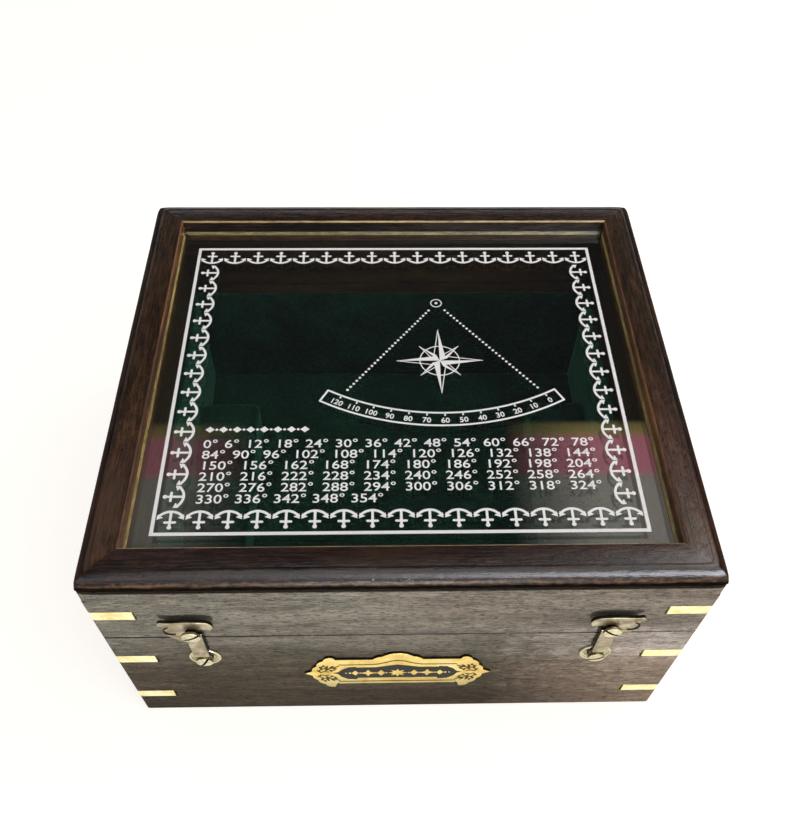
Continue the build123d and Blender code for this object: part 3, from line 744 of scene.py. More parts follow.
def onCircle(centre, radius, angle):
    return centre[0] + radius * math.cos(angle), centre[1] + radius * math.sin(angle)


def arcPoints(centre, radius, start, end, steps):
    # angles in degrees
    return [onCircle(centre, radius, math.radians(start + (end - start) * index / steps))
            for index in range(steps + 1)]


def ringBand(radius, width, start, end, steps, centre=(0, 0)):
    # the outline of an arc-shaped band
    return (arcPoints(centre, radius + width / 2, start, end, steps)
            + arcPoints(centre, radius - width / 2, start, end, steps)[::-1])


def disc(radius, steps, centre=(0, 0)):
    return [onCircle(centre, radius, 2 * math.pi * index / steps) for index in range(steps)]


def rectangle(width, height, centre=(0, 0)):
    x, y = centre
    return [(x - width / 2, y - height / 2), (x + width / 2, y - height / 2),
            (x + width / 2, y + height / 2), (x - width / 2, y + height / 2)]


def capsule(width, height, centre=(0, 0), steps=6):
    # a bar lying along x with round ends
    x, y = centre
    radius = height / 2
    reach = width / 2 - radius
    right = arcPoints((x + reach, y), radius, -90, 90, steps)
    left = [(2 * x - px, 2 * y - py) for px, py in right]
    return right + left


def smoothed(points, steps, closed=False):
    # a smooth line through the points
    count = len(points)
    line = []
    for index in range(count if closed else count - 1):
        near = [points[(index + shift) % count if closed else max(0, min(count - 1, index + shift))]
                for shift in (-1, 0, 1, 2)]
        for step in range(steps):
            t = step / steps
            line.append(tuple(0.5 * (2 * b + (c - a) * t + (2 * a - 5 * b + 4 * c - d) * t * t
                                     + (3 * b - a - 3 * c + d) * t ** 3) for a, b, c, d in zip(*near)))
    return line if closed else line + [tuple(points[-1])]


def stroke(points, width, closed=False):
    # the polygons of a drawn line: a bar for each run and a small disc at each bend
    polygons = [disc(width / 2, 8, point) for point in points]
    for (ax, ay), (bx, by) in zip(points, points[1:] + points[:1] if closed else points[1:]):
        length = math.hypot(bx - ax, by - ay)
        if length > 1e-6:
            sideX, sideY = -(by - ay) / length * width / 2, (bx - ax) / length * width / 2
            polygons.append([(ax - sideX, ay - sideY), (bx - sideX, by - sideY), (bx + sideX, by + sideY),
                             (ax + sideX, ay + sideY)])
    return polygons


def starShape(points, outer, inner, centre=(0, 0), turn=90.0):
    return [onCircle(centre, inner if index % 2 else outer, math.radians(turn + 180 * index / points))
            for index in range(2 * points)]


def lozenge(width, height, centre=(0, 0)):
    x, y = centre
    return [(x - width / 2, y), (x, y - height / 2), (x + width / 2, y), (x, y + height / 2)]


def scaled(polygons):
    return [[(x * mm, y * mm) for x, y in polygon] for polygon in polygons]


def stoodOnFront(builder):
    # a shape drawn lying flat is stood up against the front of the case
    place = Matrix.Translation((0, frontY, 0)) @ Matrix.Rotation(math.pi / 2, 4, "X")
    bmesh.ops.transform(builder, matrix=place, verts=builder.verts)
    return builder


def lathe(profile, segments, name):
    # profile: (radius, height) in millimetres, from the axis round to the axis; turned about z
    builder = bmesh.new()
    rings = []
    for radius, height in profile:
        if radius < 1e-6:
            rings.append([builder.verts.new((0, 0, height * mm))])
            continue
        rings.append([builder.verts.new((radius * mm * math.cos(2 * math.pi * index / segments),
                                         radius * mm * math.sin(2 * math.pi * index / segments), height * mm))
                      for index in range(segments)])
    for below, above in zip(rings, rings[1:]):
        for index in range(segments):
            following = (index + 1) % segments
            corners = [below[index % len(below)], below[following % len(below)],
                       above[following % len(above)], above[index % len(above)]]
            unique = []
            for corner in corners:
                if corner not in unique:
                    unique.append(corner)
            if len(unique) > 2:
                builder.faces.new(unique)
    faceOutward(builder)
    return meshFrom(name, builder)


def figureMesh(name, words, look):
    # plain figures as one thin closed solid, lying flat, in metres; the first baseline is at y = 0
    curve = bpy.data.curves.new(name, "FONT")
    curve.body = words
    curve.size = look["size"]
    curve.offset = look["bold"]
    curve.extrude = printLook["thickness"] / 2
    curve.resolution_u = 3
    curve.align_y = "TOP_BASELINE"
    if "width" in look:
        curve.align_x = "JUSTIFY"
        curve.text_boxes[0].width = look["width"] / look["stretch"]
        curve.space_line = look["pitch"] / look["size"]
    holder = addObject(name, curve)
    bpy.context.view_layer.update()
    mesh = bpy.data.meshes.new_from_object(holder)
    bpy.data.objects.remove(holder)
    builder = loaded(mesh)
    weld(builder, 0.0005)
    bmesh.ops.transform(builder, verts=builder.verts, matrix=(
        Matrix.Translation((0, 0, curve.extrude * mm)) @ Matrix.Diagonal((look["stretch"] * mm, mm, mm, 1))))
    faceOutward(builder)
    stored(builder, mesh)
    mesh.materials.clear()
    return mesh


# Geometry Nodes tools

def startTree(name, inputs):
    tree = bpy.data.node_groups.new(name, "GeometryNodeTree")
    tree.interface.new_socket("Geometry", in_out="OUTPUT", socket_type="NodeSocketGeometry")
    for label, kind in inputs.items():
        tree.interface.new_socket(label, in_out="INPUT", socket_type="NodeSocket" + kind)
    entry = tree.nodes.new("NodeGroupInput").outputs
    leave = tree.nodes.new("NodeGroupOutput").inputs
    return tree, entry, leave


def runTree(name, tree, values, baseMesh=None):
    # evaluates the tree with these input values and returns a plain mesh
    holder = addObject(name + "Holder", baseMesh or bpy.data.meshes.new(name + "Base"))
    modifier = holder.modifiers.new("build", "NODES")
    modifier.node_group = tree
    for item in tree.interface.items_tree:
        if item.in_out == "INPUT" and item.name in values:
            modifier[item.identifier] = values[item.name]
    mesh = evaluatedMesh(holder)
    mesh.name = name
    return mesh


def helperObject(name, data):
    helper = addObject(name, data)
    helper.hide_render = True
    return helper


def givenShape(tree, socket):
    return addNode(tree, "GeometryNodeObjectInfo", {"Object": socket}).outputs["Geometry"]


def realCopies(tree, points, shape, turn=(0, 0, 0)):
    copies = addNode(tree, "GeometryNodeInstanceOnPoints", {"Points": points, "Instance": shape, "Rotation": turn})
    return addNode(tree, "GeometryNodeRealizeInstances", {0: copies.outputs[0]}).outputs[0]


def finishTree(tree, entry, leave, shape):
    # one finish on everything
    finished = addNode(tree, "GeometryNodeSetMaterial", {"Geometry": shape, "Material": entry["Material"]})
    link(tree, finished.outputs[0], leave["Geometry"])
    return tree


def rowTree():
    # copies of one mark along a straight line
    tree, entry, leave = startTree("markRow", {
        "Mark": "Object", "Count": "Int", "Start": "Vector", "Step": "Vector", "Material": "Material"})
    line = addNode(tree, "GeometryNodeMeshLine", {
        "Count": entry["Count"], "Start Location": entry["Start"], "Offset": entry["Step"]}).outputs[0]
    return finishTree(tree, entry, leave, realCopies(tree, line, givenShape(tree, entry["Mark"])))


def fanTree():
    # copies of one mark, fanned out round a centre
    tree, entry, leave = startTree("markFan", {
        "Mark": "Object", "Count": "Int", "First Angle": "Float", "Step Angle": "Float", "Centre": "Vector",
        "Material": "Material"})
    spots = addNode(tree, "GeometryNodeMeshLine", {
        "Count": entry["Count"], "Start Location": entry["Centre"], "Offset": (0, 0, 0)}).outputs[0]
    number = addNode(tree, "GeometryNodeInputIndex").outputs[0]
    angle = addMath(tree, "MULTIPLY_ADD", number, entry["Step Angle"], entry["First Angle"])
    angles = addNode(tree, "ShaderNodeCombineXYZ", {"Z": angle}).outputs[0]
    turn = addNode(tree, "FunctionNodeEulerToRotation", {0: angles}).outputs[0]
    return finishTree(tree, entry, leave, realCopies(tree, spots, givenShape(tree, entry["Mark"]), turn))


def edgeTree():
    # copies of one mark set square across a closed line, all the way round
    tree, entry, leave = startTree("markEdge", {
        "Geometry": "Geometry", "Mark": "Object", "Pitch": "Float", "Material": "Material"})
    line = addNode(tree, "GeometryNodeMeshToCurve", {"Mesh": entry["Geometry"]}).outputs[0]
    even = addNode(tree, "GeometryNodeResampleCurve", {"Curve": line, "Length": entry["Pitch"]}, mode="LENGTH")
    tangent = addNode(tree, "GeometryNodeInputTangent").outputs[0]
    turn = addNode(tree, "FunctionNodeAlignRotationToVector", {"Vector": tangent}, axis="X", pivot_axis="Z")
    copies = realCopies(tree, even.outputs[0], givenShape(tree, entry["Mark"]), turn.outputs[0])
    return finishTree(tree, entry, leave, copies)


def finishedWhere(tree, shape, material, chosen=None):
    values = {"Geometry": shape, "Material": material}
    if chosen is not None:
        values["Selection"] = chosen
    return addNode(tree, "GeometryNodeSetMaterial", values).outputs[0]


def screwTree():
    # a screw on every point, turned by the point's own slot angle; shank and slot are darker than the head, and the
    # head's side is darker as painted shade
    tree, entry, leave = startTree("screwSet", {
        "Geometry": "Geometry", "Screw": "Object", "Facing": "Float", "Head Base": "Float",
        "Head Finish": "Material", "Shaded Side Finish": "Material", "Shank Finish": "Material"})
    height = axisParts(tree, addNode(tree, "GeometryNodeInputPosition").outputs[0])[2]
    tilt = axisParts(tree, addNode(tree, "GeometryNodeInputNormal").outputs[0])[2]
    slotted = addNode(tree, "GeometryNodeInputNamedAttribute", {"Name": "inSlot"}, data_type="BOOLEAN")
    shape = givenShape(tree, entry["Screw"])
    for label, chosen in (("Head Finish", None), ("Shaded Side Finish", addMath(tree, "LESS_THAN", tilt, 0.3)),
                          ("Shank Finish", addMath(tree, "LESS_THAN", height, entry["Head Base"])),
                          ("Shank Finish", slotted.outputs[0])):
        shape = finishedWhere(tree, shape, entry[label], chosen)
    slot = addNode(tree, "GeometryNodeInputNamedAttribute", {"Name": "slotAngle"}, data_type="FLOAT")
    angles = addNode(tree, "ShaderNodeCombineXYZ", {"X": math.pi / 2, "Y": slot.outputs[0], "Z": entry["Facing"]})
    turn = addNode(tree, "FunctionNodeEulerToRotation", {0: angles.outputs[0]}).outputs[0]
    points = addNode(tree, "GeometryNodeMeshToPoints", {"Mesh": entry["Geometry"]}).outputs[0]
    link(tree, realCopies(tree, points, shape, turn), leave["Geometry"])
    return tree


def slottedScrew(name, look):
    # a lathed head and shank with a straight slot cut across the head
    mesh = lathe(look["profile"], 48, name)
    screw = helperObject(name, mesh)
    cutter = bpy.data.meshes.new(name + "Slot")
    builder = bmesh.new()
    bmesh.ops.create_cube(builder, size=1)
    size = inMetres((3 * look["headRadius"], look["slotWidth"], 2 * look["slotDepth"]))
    bmesh.ops.scale(builder, verts=builder.verts, vec=size)
    bmesh.ops.translate(builder, verts=builder.verts, vec=(0, 0, look["top"] * mm))
    blade = helperObject(name + "Slot", stored(builder, cutter))
    cut = screw.modifiers.new("slot", "BOOLEAN")
    cut.object = blade
    cut.operation = "DIFFERENCE"
    cut.solver = "EXACT"
    soften = screw.modifiers.new("soften", "BEVEL")
    soften.width = look["soften"] * mm
    soften.segments = 2
    soften.limit_method = "ANGLE"
    soften.angle_limit = math.radians(40)
    finished = evaluatedMesh(screw)
    bpy.data.objects.remove(blade)
    # the slot's floor and walls are marked, so that they can be darker
    marks = finished.attributes.new("inSlot", "BOOLEAN", "FACE")
    crown = (look["top"] - look["soften"] * 2) * mm
    wall, rim = (look["slotWidth"] / 2 + 0.002) * mm, look["headRadius"] * 0.8 * mm
    inSlot = [abs(face.center.y) <= wall and abs(face.center.x) < rim and look["floor"] * mm < face.center.z < crown
              for face in finished.polygons]
    marks.data.foreach_set("value", inSlot)
    return helperObject(name + "Cut", finished)


def setScrews(name, screw, headBase, places, facing, body, replaced):
    # places: (x, y, z, slot angle in degrees)
    base = bpy.data.meshes.new(name + "Points")
    base.from_pydata([place[:3] for place in places], [], [])
    angles = base.attributes.new("slotAngle", "FLOAT", "POINT")
    angles.data.foreach_set("value", [math.radians(place[3]) for place in places])
    mesh = runTree(name, screws, {"Screw": screw, "Facing": facing, "Head Base": headBase * mm,
                                  "Head Finish": screwBrass, "Shaded Side Finish": sideShadeBrass,
                                  "Shank Finish": patinaAndShade}, base)
    piece = makePiece(name, mesh, body, (), 30)
    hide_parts(*replaced)
    return piece


screws, rows, fans, edging = screwTree(), rowTree(), fanTree(), edgeTree()
print("making tools: done")


# Case boards

boardLook = {"softened": 0.14, "panelSoftened": 0.25, "seamReach": 0.45}


def boardFace(face):
    # 1 on the inside, 2 on the edges that meet at the seam, where dark frame wood is painted shade in the gap, 0
    # elsewhere
    centre = face.calc_center_median()
    reach = 0.05 * mm
    if abs(face.normal.z) > 0.3 and abs(centre.z - seamZ) < boardLook["seamReach"] * mm:
        return 2
    return 1 if abs(centre.x) < innerX + reach and abs(centre.y) < innerY + reach else 0


for side, grain in (("front", "x"), ("back", "x"), ("left", "y"), ("right", "y")):
    for part in ("base", "lid"):
        refine(f"{part}_{side}_board", part, boardLook["softened"],
               (woods["case", grain], woods["lined", grain], woods["frame", grain]), boardFace)
refine("bottom_panel", "base", boardLook["panelSoftened"], (woods["panel", "x"],))
print("case boards: done")


# Lid frame: one moulding, swept and mitred four times

mouldingLook = {
    "roundOver": 4.0, "innerRound": 0.7, "grooveDepth": 0.03, "grooveWidth": 0.45,
    # the dark line under the rounding
    "faceInset": 0.15, "quirkDepth": 0.65, "quirkHeight": 0.45, "quirkTop": 0.12, "nose": 0.10,
    "settle": 12.0, "cornerReach": 60.0,  # powers: how near the mitres the wobble ends and the easing begins
    # how far down the rounding the varnish reaches
    "glossDrop": {"front": 1.6, "right": 0.15, "back": 0.15, "left": 0.15},
    "wobble": 0.16, "waveLength": 20.0, "steps": 90, "rebateGap": 0.25,
    # how far the corners are eased, and how much of the inner edge carries a pale painted highlight
    "cornerEase": 0.45, "wornArris": 0.55,
}


def mouldingProfile(look, border, height, ledge, rebate):
    # (inset from the outer edge, height above the underside), round the section, in millimetres
    curve, inner, groove = look["roundOver"], look["innerRound"], look["grooveWidth"]
    face, quirk = look["faceInset"], look["quirkDepth"]
    lip = height - curve  # where the rounding meets the upright face
    points = [(face, 0), (face, lip - look["quirkHeight"]), (quirk, lip - look["quirkHeight"] * 0.8),
              (quirk, lip - look["quirkTop"]), (look["nose"], lip - look["nose"])]
    points += arcPoints((curve, height - curve), curve, 180, 90, 16)
    points += [(curve + groove * 0.3, height - look["grooveDepth"]),
               (curve + groove * 0.7, height - look["grooveDepth"]), (curve + groove, height)]
    points += arcPoints((border - inner, height - inner), inner, 90, 0, 5)
    points += [(border, ledge), (rebate, ledge), (rebate, 0)]
    return points


def mouldingTree():
    tree, entry, leave = startTree("mitredMoulding", {
        "Profile": "Object", "Half Length": "Float", "Half Span": "Float", "Steps": "Int", "Wobble": "Float",
        "Wave Length": "Float", "Border": "Float", "Underside": "Float", "Lip Height": "Float",
        "Settle": "Float", "Corner Reach": "Float",
        "Gloss Height": "Float", "Turn": "Float", "Seed": "Float", "Corner Ease": "Float", "Arris": "Float",
        "Outer Finish": "Material", "Edge Finish": "Material", "Face Finish": "Material",
        "Inner Finish": "Material", "Highlight Finish": "Material"})
    section = givenShape(tree, entry["Profile"])
    line = addNode(tree, "GeometryNodeCurvePrimitiveLine", {"Start": (-1, 0, 0), "End": (1, 0, 0)}).outputs[0]
    stations = addNode(tree, "GeometryNodeResampleCurve", {"Curve": line, "Count": entry["Steps"]}).outputs[0]
    bar = addNode(tree, "GeometryNodeCurveToMesh", {
        "Curve": stations, "Profile Curve": section, "Fill Caps": True}).outputs[0]
    along, inset, height = axisParts(tree, addNode(tree, "GeometryNodeInputPosition").outputs[0])
    # varnish on the top, duller low on the rounding, case wood below it, warm wood round the opening and a pale
    # painted highlight along the inner arris
    outer = addMath(tree, "LESS_THAN", inset, multiply(tree, entry["Border"], 0.5))
    dull = multiply(tree, outer, addMath(tree, "LESS_THAN", height, entry["Gloss Height"]))
    upright = multiply(tree, outer, addMath(tree, "LESS_THAN", height, entry["Lip Height"]))
    opening = addMath(tree, "GREATER_THAN", inset, addMath(tree, "SUBTRACT", entry["Border"], 0.05 * mm))
    arris = addMath(tree, "GREATER_THAN", plus(tree, inset, height), entry["Arris"])
    finished = bar
    for label, chosen in (("Outer Finish", None), ("Edge Finish", dull), ("Face Finish", upright),
                          ("Inner Finish", opening), ("Highlight Finish", arris)):
        finished = finishedWhere(tree, finished, entry[label], chosen)
    # mitre: the bar gets shorter towards the opening
    reach = addMath(tree, "SUBTRACT", entry["Half Length"], inset)
    mitred = multiply(tree, along, reach)
    # a hand-planed edge wanders a little, and settles at the mitres
    cell = addMath(tree, "DIVIDE", mitred, entry["Wave Length"])
    sample = addNode(tree, "ShaderNodeCombineXYZ", {"X": cell, "Y": entry["Seed"]}).outputs[0]
    wave = addNode(tree, "ShaderNodeTexNoise", {"Vector": sample, "Scale": 1.0, "Detail": 2.0}).outputs[0]
    middleOut = addMath(tree, "ABSOLUTE", along)
    settled = addMath(tree, "SUBTRACT", 1.0, addMath(tree, "POWER", middleOut, entry["Settle"]))
    shift = multiply(tree, multiply(tree, wave, entry["Wobble"]), settled)
    eased = addMath(tree, "POWER", middleOut, entry["Corner Reach"])
    shift = addMath(tree, "MULTIPLY_ADD", eased, entry["Corner Ease"], shift)
    outerPart = addMath(tree, "LESS_THAN", inset, multiply(tree, entry["Border"], 0.6))
    pushed = plus(tree, inset, multiply(tree, shift, outerPart))
    fromCentre = addMath(tree, "SUBTRACT", pushed, entry["Half Span"])
    raised = plus(tree, height, entry["Underside"])
    closed = multiply(tree, along, addMath(tree, "SUBTRACT", entry["Half Length"], pushed))
    spot = addNode(tree, "ShaderNodeCombineXYZ", {"X": closed, "Y": fromCentre, "Z": raised}).outputs[0]
    shaped = addNode(tree, "GeometryNodeSetPosition", {"Geometry": finished, "Position": spot}).outputs[0]
    turned = addNode(tree, "GeometryNodeTransform", {"Geometry": shaped})
    link(tree, addNode(tree, "ShaderNodeCombineXYZ", {"Z": entry["Turn"]}).outputs[0], turned.inputs["Rotation"])
    real = addNode(tree, "GeometryNodeRealizeInstances", {0: turned.outputs[0]})
    link(tree, real.outputs[0], leave["Geometry"])
    return tree


def makeFrame(look):
    border = (frameHigh.y - frameLow.y) / mm
    ledge = (glassHigh.z - frameLow.z) / mm
    rebate = (halfWidth - glassHigh.x) / mm - look["rebateGap"]
    height = frameTop - frameLow.z
    profile = mouldingProfile(look, border, height / mm, ledge, rebate)
    curve = bpy.data.curves.new("mouldingProfile", "CURVE")
    curve.dimensions = "3D"
    spline = curve.splines.new("POLY")
    spline.points.add(len(profile) - 1)
    for point, (inset, rise) in zip(spline.points, profile):
        point.co = (-inset * mm, -rise * mm, 0, 1)
    spline.use_cyclic_u = True
    section = helperObject("mouldingProfile", curve)
    tree = mouldingTree()
    members = (("front", 0, halfWidth, halfDepth, "x"), ("right", math.pi / 2, halfDepth, halfWidth, "y"),
               ("back", math.pi, halfWidth, halfDepth, "x"), ("left", -math.pi / 2, halfDepth, halfWidth, "y"))
    for number, (side, turn, halfLength, halfSpan, grain) in enumerate(members):
        mesh = runTree(f"lidFrame{side}", tree, {
            "Profile": section, "Half Length": halfLength, "Half Span": halfSpan, "Steps": look["steps"],
            "Wobble": look["wobble"] * mm, "Wave Length": look["waveLength"] * mm, "Border": border * mm,
            "Underside": frameLow.z, "Lip Height": height - (look["roundOver"] + 0.05) * mm,
            "Gloss Height": height - look["glossDrop"][side] * mm, "Turn": turn, "Seed": 3.7 * number + 0.4,
            "Corner Ease": look["cornerEase"] * mm, "Arris": (border - look["wornArris"]) * mm + height,
            "Settle": look["settle"], "Corner Reach": look["cornerReach"],
            "Outer Finish": woods["frame", grain], "Face Finish": woods["case", grain],
            "Edge Finish": woods["edge" if side == "front" else "dull", grain],
            # the back member's opening wall is dark frame wood: painted shade
            "Inner Finish": woods["frame" if side == "back" else "inner", grain],
            # pale wood along the inner arris: a painted highlight
            "Highlight Finish": woods["bead" if grain == "x" else "inner", grain]})
        builder = loaded(mesh)
        weld(builder, 0.001 * mm)
        faceOutward(builder)
        stored(builder, mesh)
        piece = makePiece(f"lid_frame_{side}_moulding", mesh, "lid", (), 30)
        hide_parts(f"lid_frame_{side}")
    bpy.data.objects.remove(section)


makeFrame(mouldingLook)


paneEdges = {"beadSoftened": 0.8, "glassSoftened": 0.2}


def highlightEdgeFace(face):
    # painted highlight: the sloping bevel faces get the pale gold wood
    return 1 if abs(face.normal.z) > 0.3 and math.hypot(face.normal.x, face.normal.y) > 0.3 else 0


for side, grain in (("front", "x"), ("back", "x"), ("left", "y"), ("right", "y")):
    refine(f"glass_bead_{side}", "lid", paneEdges["beadSoftened"],
           (woods["inner", grain], woods["bead", grain]), highlightEdgeFace, 1)
refine("glass_pane", "lid", paneEdges["glassSoftened"], (paneGlass,))
print("lid frame and glass: done")


# Brass corner strips

stripLook = {"softened": 0.10, "sharpest": 40}

for node, body in (("base_corner_strips_upper", "base"), ("base_corner_strips_lower", "base"),
                   ("lid_corner_strips", "lid")):
    refine(node, body, stripLook["softened"], (stripBrass,), sharpest=stripLook["sharpest"])
print("corner strips: done")


# Hooks, washers and screws

hookLook = {"softened": 0.16, "frontTilt": -0.35}
crescentLook = {
    "centre": (5.2, 0.9), "radius": 2.0, "width": 0.55, "rise": 0.22, "start": -120, "end": 75, "steps": 24,
    "thinnest": 0.08, "softened": 0.10,
}


def hookFace(face):
    # every face but the front, the edges and the back, gets dark patina that also stands for painted shade
    return 0 if face.normal.y < hookLook["frontTilt"] else 1


def makeCrescent(look, side, sign):
    # a raised crescent on the hook's cheek, drawn from the middle of the catch screw; its dark finish is a painted
    # shadow line
    middle = placeOf(f"catch_screw_{side}")
    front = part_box(f"hook_{side}")[0].y
    centre = look["centre"]
    outline = []
    for band in (0.5, -0.5):
        line = []
        for index in range(look["steps"] + 1):
            share = index / look["steps"]
            angle = math.radians(look["start"] + (look["end"] - look["start"]) * share)
            swell = math.sin(math.pi * share) ** 0.6
            reach = look["radius"] + band * look["width"] * max(look["thinnest"], swell)
            x, y = onCircle(centre, reach, angle)
            line.append((x * sign, y))
        outline += line if band > 0 else line[::-1]
    outline = [(x * mm + middle.x, y * mm + middle.z) for x, y in outline]
    stand = frontY - front
    builder = flatSolid([outline], stand - 0.05 * mm, stand + look["rise"] * mm)
    bevelSharp(builder, look["softened"], 2, 50)
    makePiece(f"hook_{side}_crescent", meshFrom("crescent", stoodOnFront(builder)), f"hook_{side}",
              (patinaAndShade,), 40)


for side, sign in (("left", -1), ("right", 1)):
    refine(f"hook_{side}", f"hook_{side}", hookLook["softened"], (hookBrass, patinaAndShade), hookFace, 3)
    makeCrescent(crescentLook, side, sign)

washerLook = {
    "bore": 1.32, "foot": 0.02, "footReach": 0.3, "floor": 0.30, "dish": 2.9, "dishSlope": 0.55, "dishRise": 0.03,
    "rimCentre": 4.22, "rimRadius": 0.37, "rimHeight": 0.50, "dishFinish": 3.5,
}


def makeWashers(look):
    rim = arcPoints((look["rimCentre"], look["rimHeight"]), look["rimRadius"], 190, -30, 12)
    bore, foot, floor, dish, rise = (look[key] for key in ("bore", "foot", "floor", "dish", "dishRise"))
    profile = [(bore, foot), (bore, floor), (dish, floor + rise), (dish + look["dishSlope"], floor + 2 * rise)]
    profile += rim + [(look["rimCentre"] + look["footReach"], foot)]
    for side in ("left", "right"):
        centre = placeOf(f"cup_washer_{side}")
        builder = loaded(lathe(profile + profile[:1], 72, "washerTurning"))
        weld(builder, 0.001 * mm)
        faceOutward(builder)
        for face in builder.faces:
            middle = face.calc_center_median()
            face.material_index = 1 if math.hypot(middle.x, middle.y) < look["dishFinish"] * mm else 0
        place = Matrix.Translation((centre.x, frontY, centre.z)) @ Matrix.Rotation(math.pi / 2, 4, "X")
        bmesh.ops.transform(builder, matrix=place, verts=builder.verts)
        piece = makePiece(f"cup_washer_{side}_pressed", meshFrom(f"washer{side}", builder), "base",
                          (screwBrass, hookBrass), 50)
        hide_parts(f"cup_washer_{side}")


makeWashers(washerLook)

latchScrewLook = {
    "pivot": {"head": 2.35, "shank": 1.2, "base": 1.5, "edge": 0.85, "top": 2.7, "chamfer": 0.12},
    "catch": {"head": 2.5, "shank": 1.3, "base": 3.4, "edge": 0.80, "top": 4.58, "chamfer": 0.12},
    "slotWidth": 0.72, "slotDepth": 0.75, "soften": 0.05, "depth": 6.5,
}


def domedProfile(look, depth):
    # from the tip of the shank up to the crown of the head
    rise = look["top"] - look["base"] - look["edge"]
    sphere = (look["head"] ** 2 + rise ** 2) / (2 * rise)
    reach = math.degrees(math.asin(look["head"] / sphere))
    crown = arcPoints((0, look["top"] - sphere), sphere, 90 - reach, 90, 10)
    head, shank, base, chamfer = look["head"], look["shank"], look["base"], look["chamfer"]
    start = [(0, -depth), (shank, -depth + shank), (shank, base), (head - chamfer, base), (head, base + chamfer)]
    return start + crown[:-1] + [(0, look["top"])]


def makeLatchScrews(look):
    slotAngles = {"left": (60, 28), "right": (21, -34)}  # pivot, catch
    for number, (kind, body) in enumerate((("pivot", "base"), ("catch", "lid"))):
        shape = look[kind]
        screw = slottedScrew(kind + "Screw", {
            "profile": domedProfile(shape, look["depth"]), "headRadius": shape["head"], "top": shape["top"],
            "slotWidth": look["slotWidth"], "slotDepth": look["slotDepth"], "soften": look["soften"],
            "floor": shape["base"]})
        places = []
        for side in ("left", "right"):
            centre = placeOf(f"{kind}_screw_{side}")
            places.append((centre.x, frontY, centre.z, -slotAngles[side][number]))
        setScrews(f"{kind}_screws_slotted", screw, shape["base"], places, 0.0, body,
                  [f"{kind}_screw_left", f"{kind}_screw_right"])
        bpy.data.objects.remove(screw)


makeLatchScrews(latchScrewLook)
print("latches: done")


# Hinges on the back

hingeLook = {
    "softened": 0.14, "pinRadius": 1.0, "pinDome": 0.35,
    "pinSteps": ((0.55, 0.15), (0.85, 0.5), (1.0, 1.0)),  # shares of the radius and of the dome
    "screwHead": 1.72, "screwShank": 0.8, "screwLength": 5.5, "screwCrown": 0.12, "leafThickness": 1.16,
    "slotWidth": 0.45, "slotDepth": 0.45, "screwSoftened": 0.03, "screwInset": 1.75, "screwPitch": 16.0,
    "slotAngles": (20, 70, 120, 170),
}


def makeHinges(look):
    for side in ("left", "right"):
        for part in ("base", "lid"):
            refine(f"hinge_{part}_leaf_{side}", part, look["softened"], (hingeBrass,), sharpest=30)
        low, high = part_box(f"hinge_pin_{side}")
        half = (high.x - low.x) / 2 / mm
        radius, dome = look["pinRadius"], look["pinDome"]
        profile = [(0, -half)] + [(radius * out, -half + dome * along) for out, along in look["pinSteps"]]
        profile += [(r, -h) for r, h in reversed(profile)]
        mesh = lathe(profile, 32, f"hingePin{side}")
        centre = (low + high) / 2
        mesh.transform(Matrix.Translation(centre) @ Matrix.Rotation(math.pi / 2, 4, "Y"))
        piece = makePiece(f"hinge_pin_{side}_domed", mesh, "base", (screwBrass,), 60)
        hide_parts(f"hinge_pin_{side}")
    head, shank, thick, length = look["screwHead"], look["screwShank"], look["leafThickness"], look["screwLength"]
    top = thick + look["screwCrown"]
    profile = [(0, -length), (shank, shank - length), (shank, thick - (head - shank)), (head, thick - 0.06),
               (head - 0.07, thick + 0.01), (head * 0.6, thick + 0.08), (0, top)]
    screw = slottedScrew("leafScrew", {
        "profile": profile, "headRadius": head, "top": top, "slotWidth": look["slotWidth"],
        "slotDepth": look["slotDepth"], "soften": look["screwSoftened"], "floor": 0.0})
    inset, pitch = look["screwInset"] * mm, look["screwPitch"] * mm
    for part in ("base", "lid"):
        node = f"hinge_{part}_screws"
        low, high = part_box(node)
        height = (low.z + high.z) / 2
        xs = (low.x + inset, low.x + inset + pitch, high.x - inset - pitch, high.x - inset)
        places = [(x, backY, height, angle) for x, angle in zip(xs, look["slotAngles"])]
        setScrews(node + "_slotted", screw, 0.0, places, math.pi, part, [node])
    bpy.data.objects.remove(screw)


makeHinges(hingeLook)
print("hinges: done")


# Nameplate

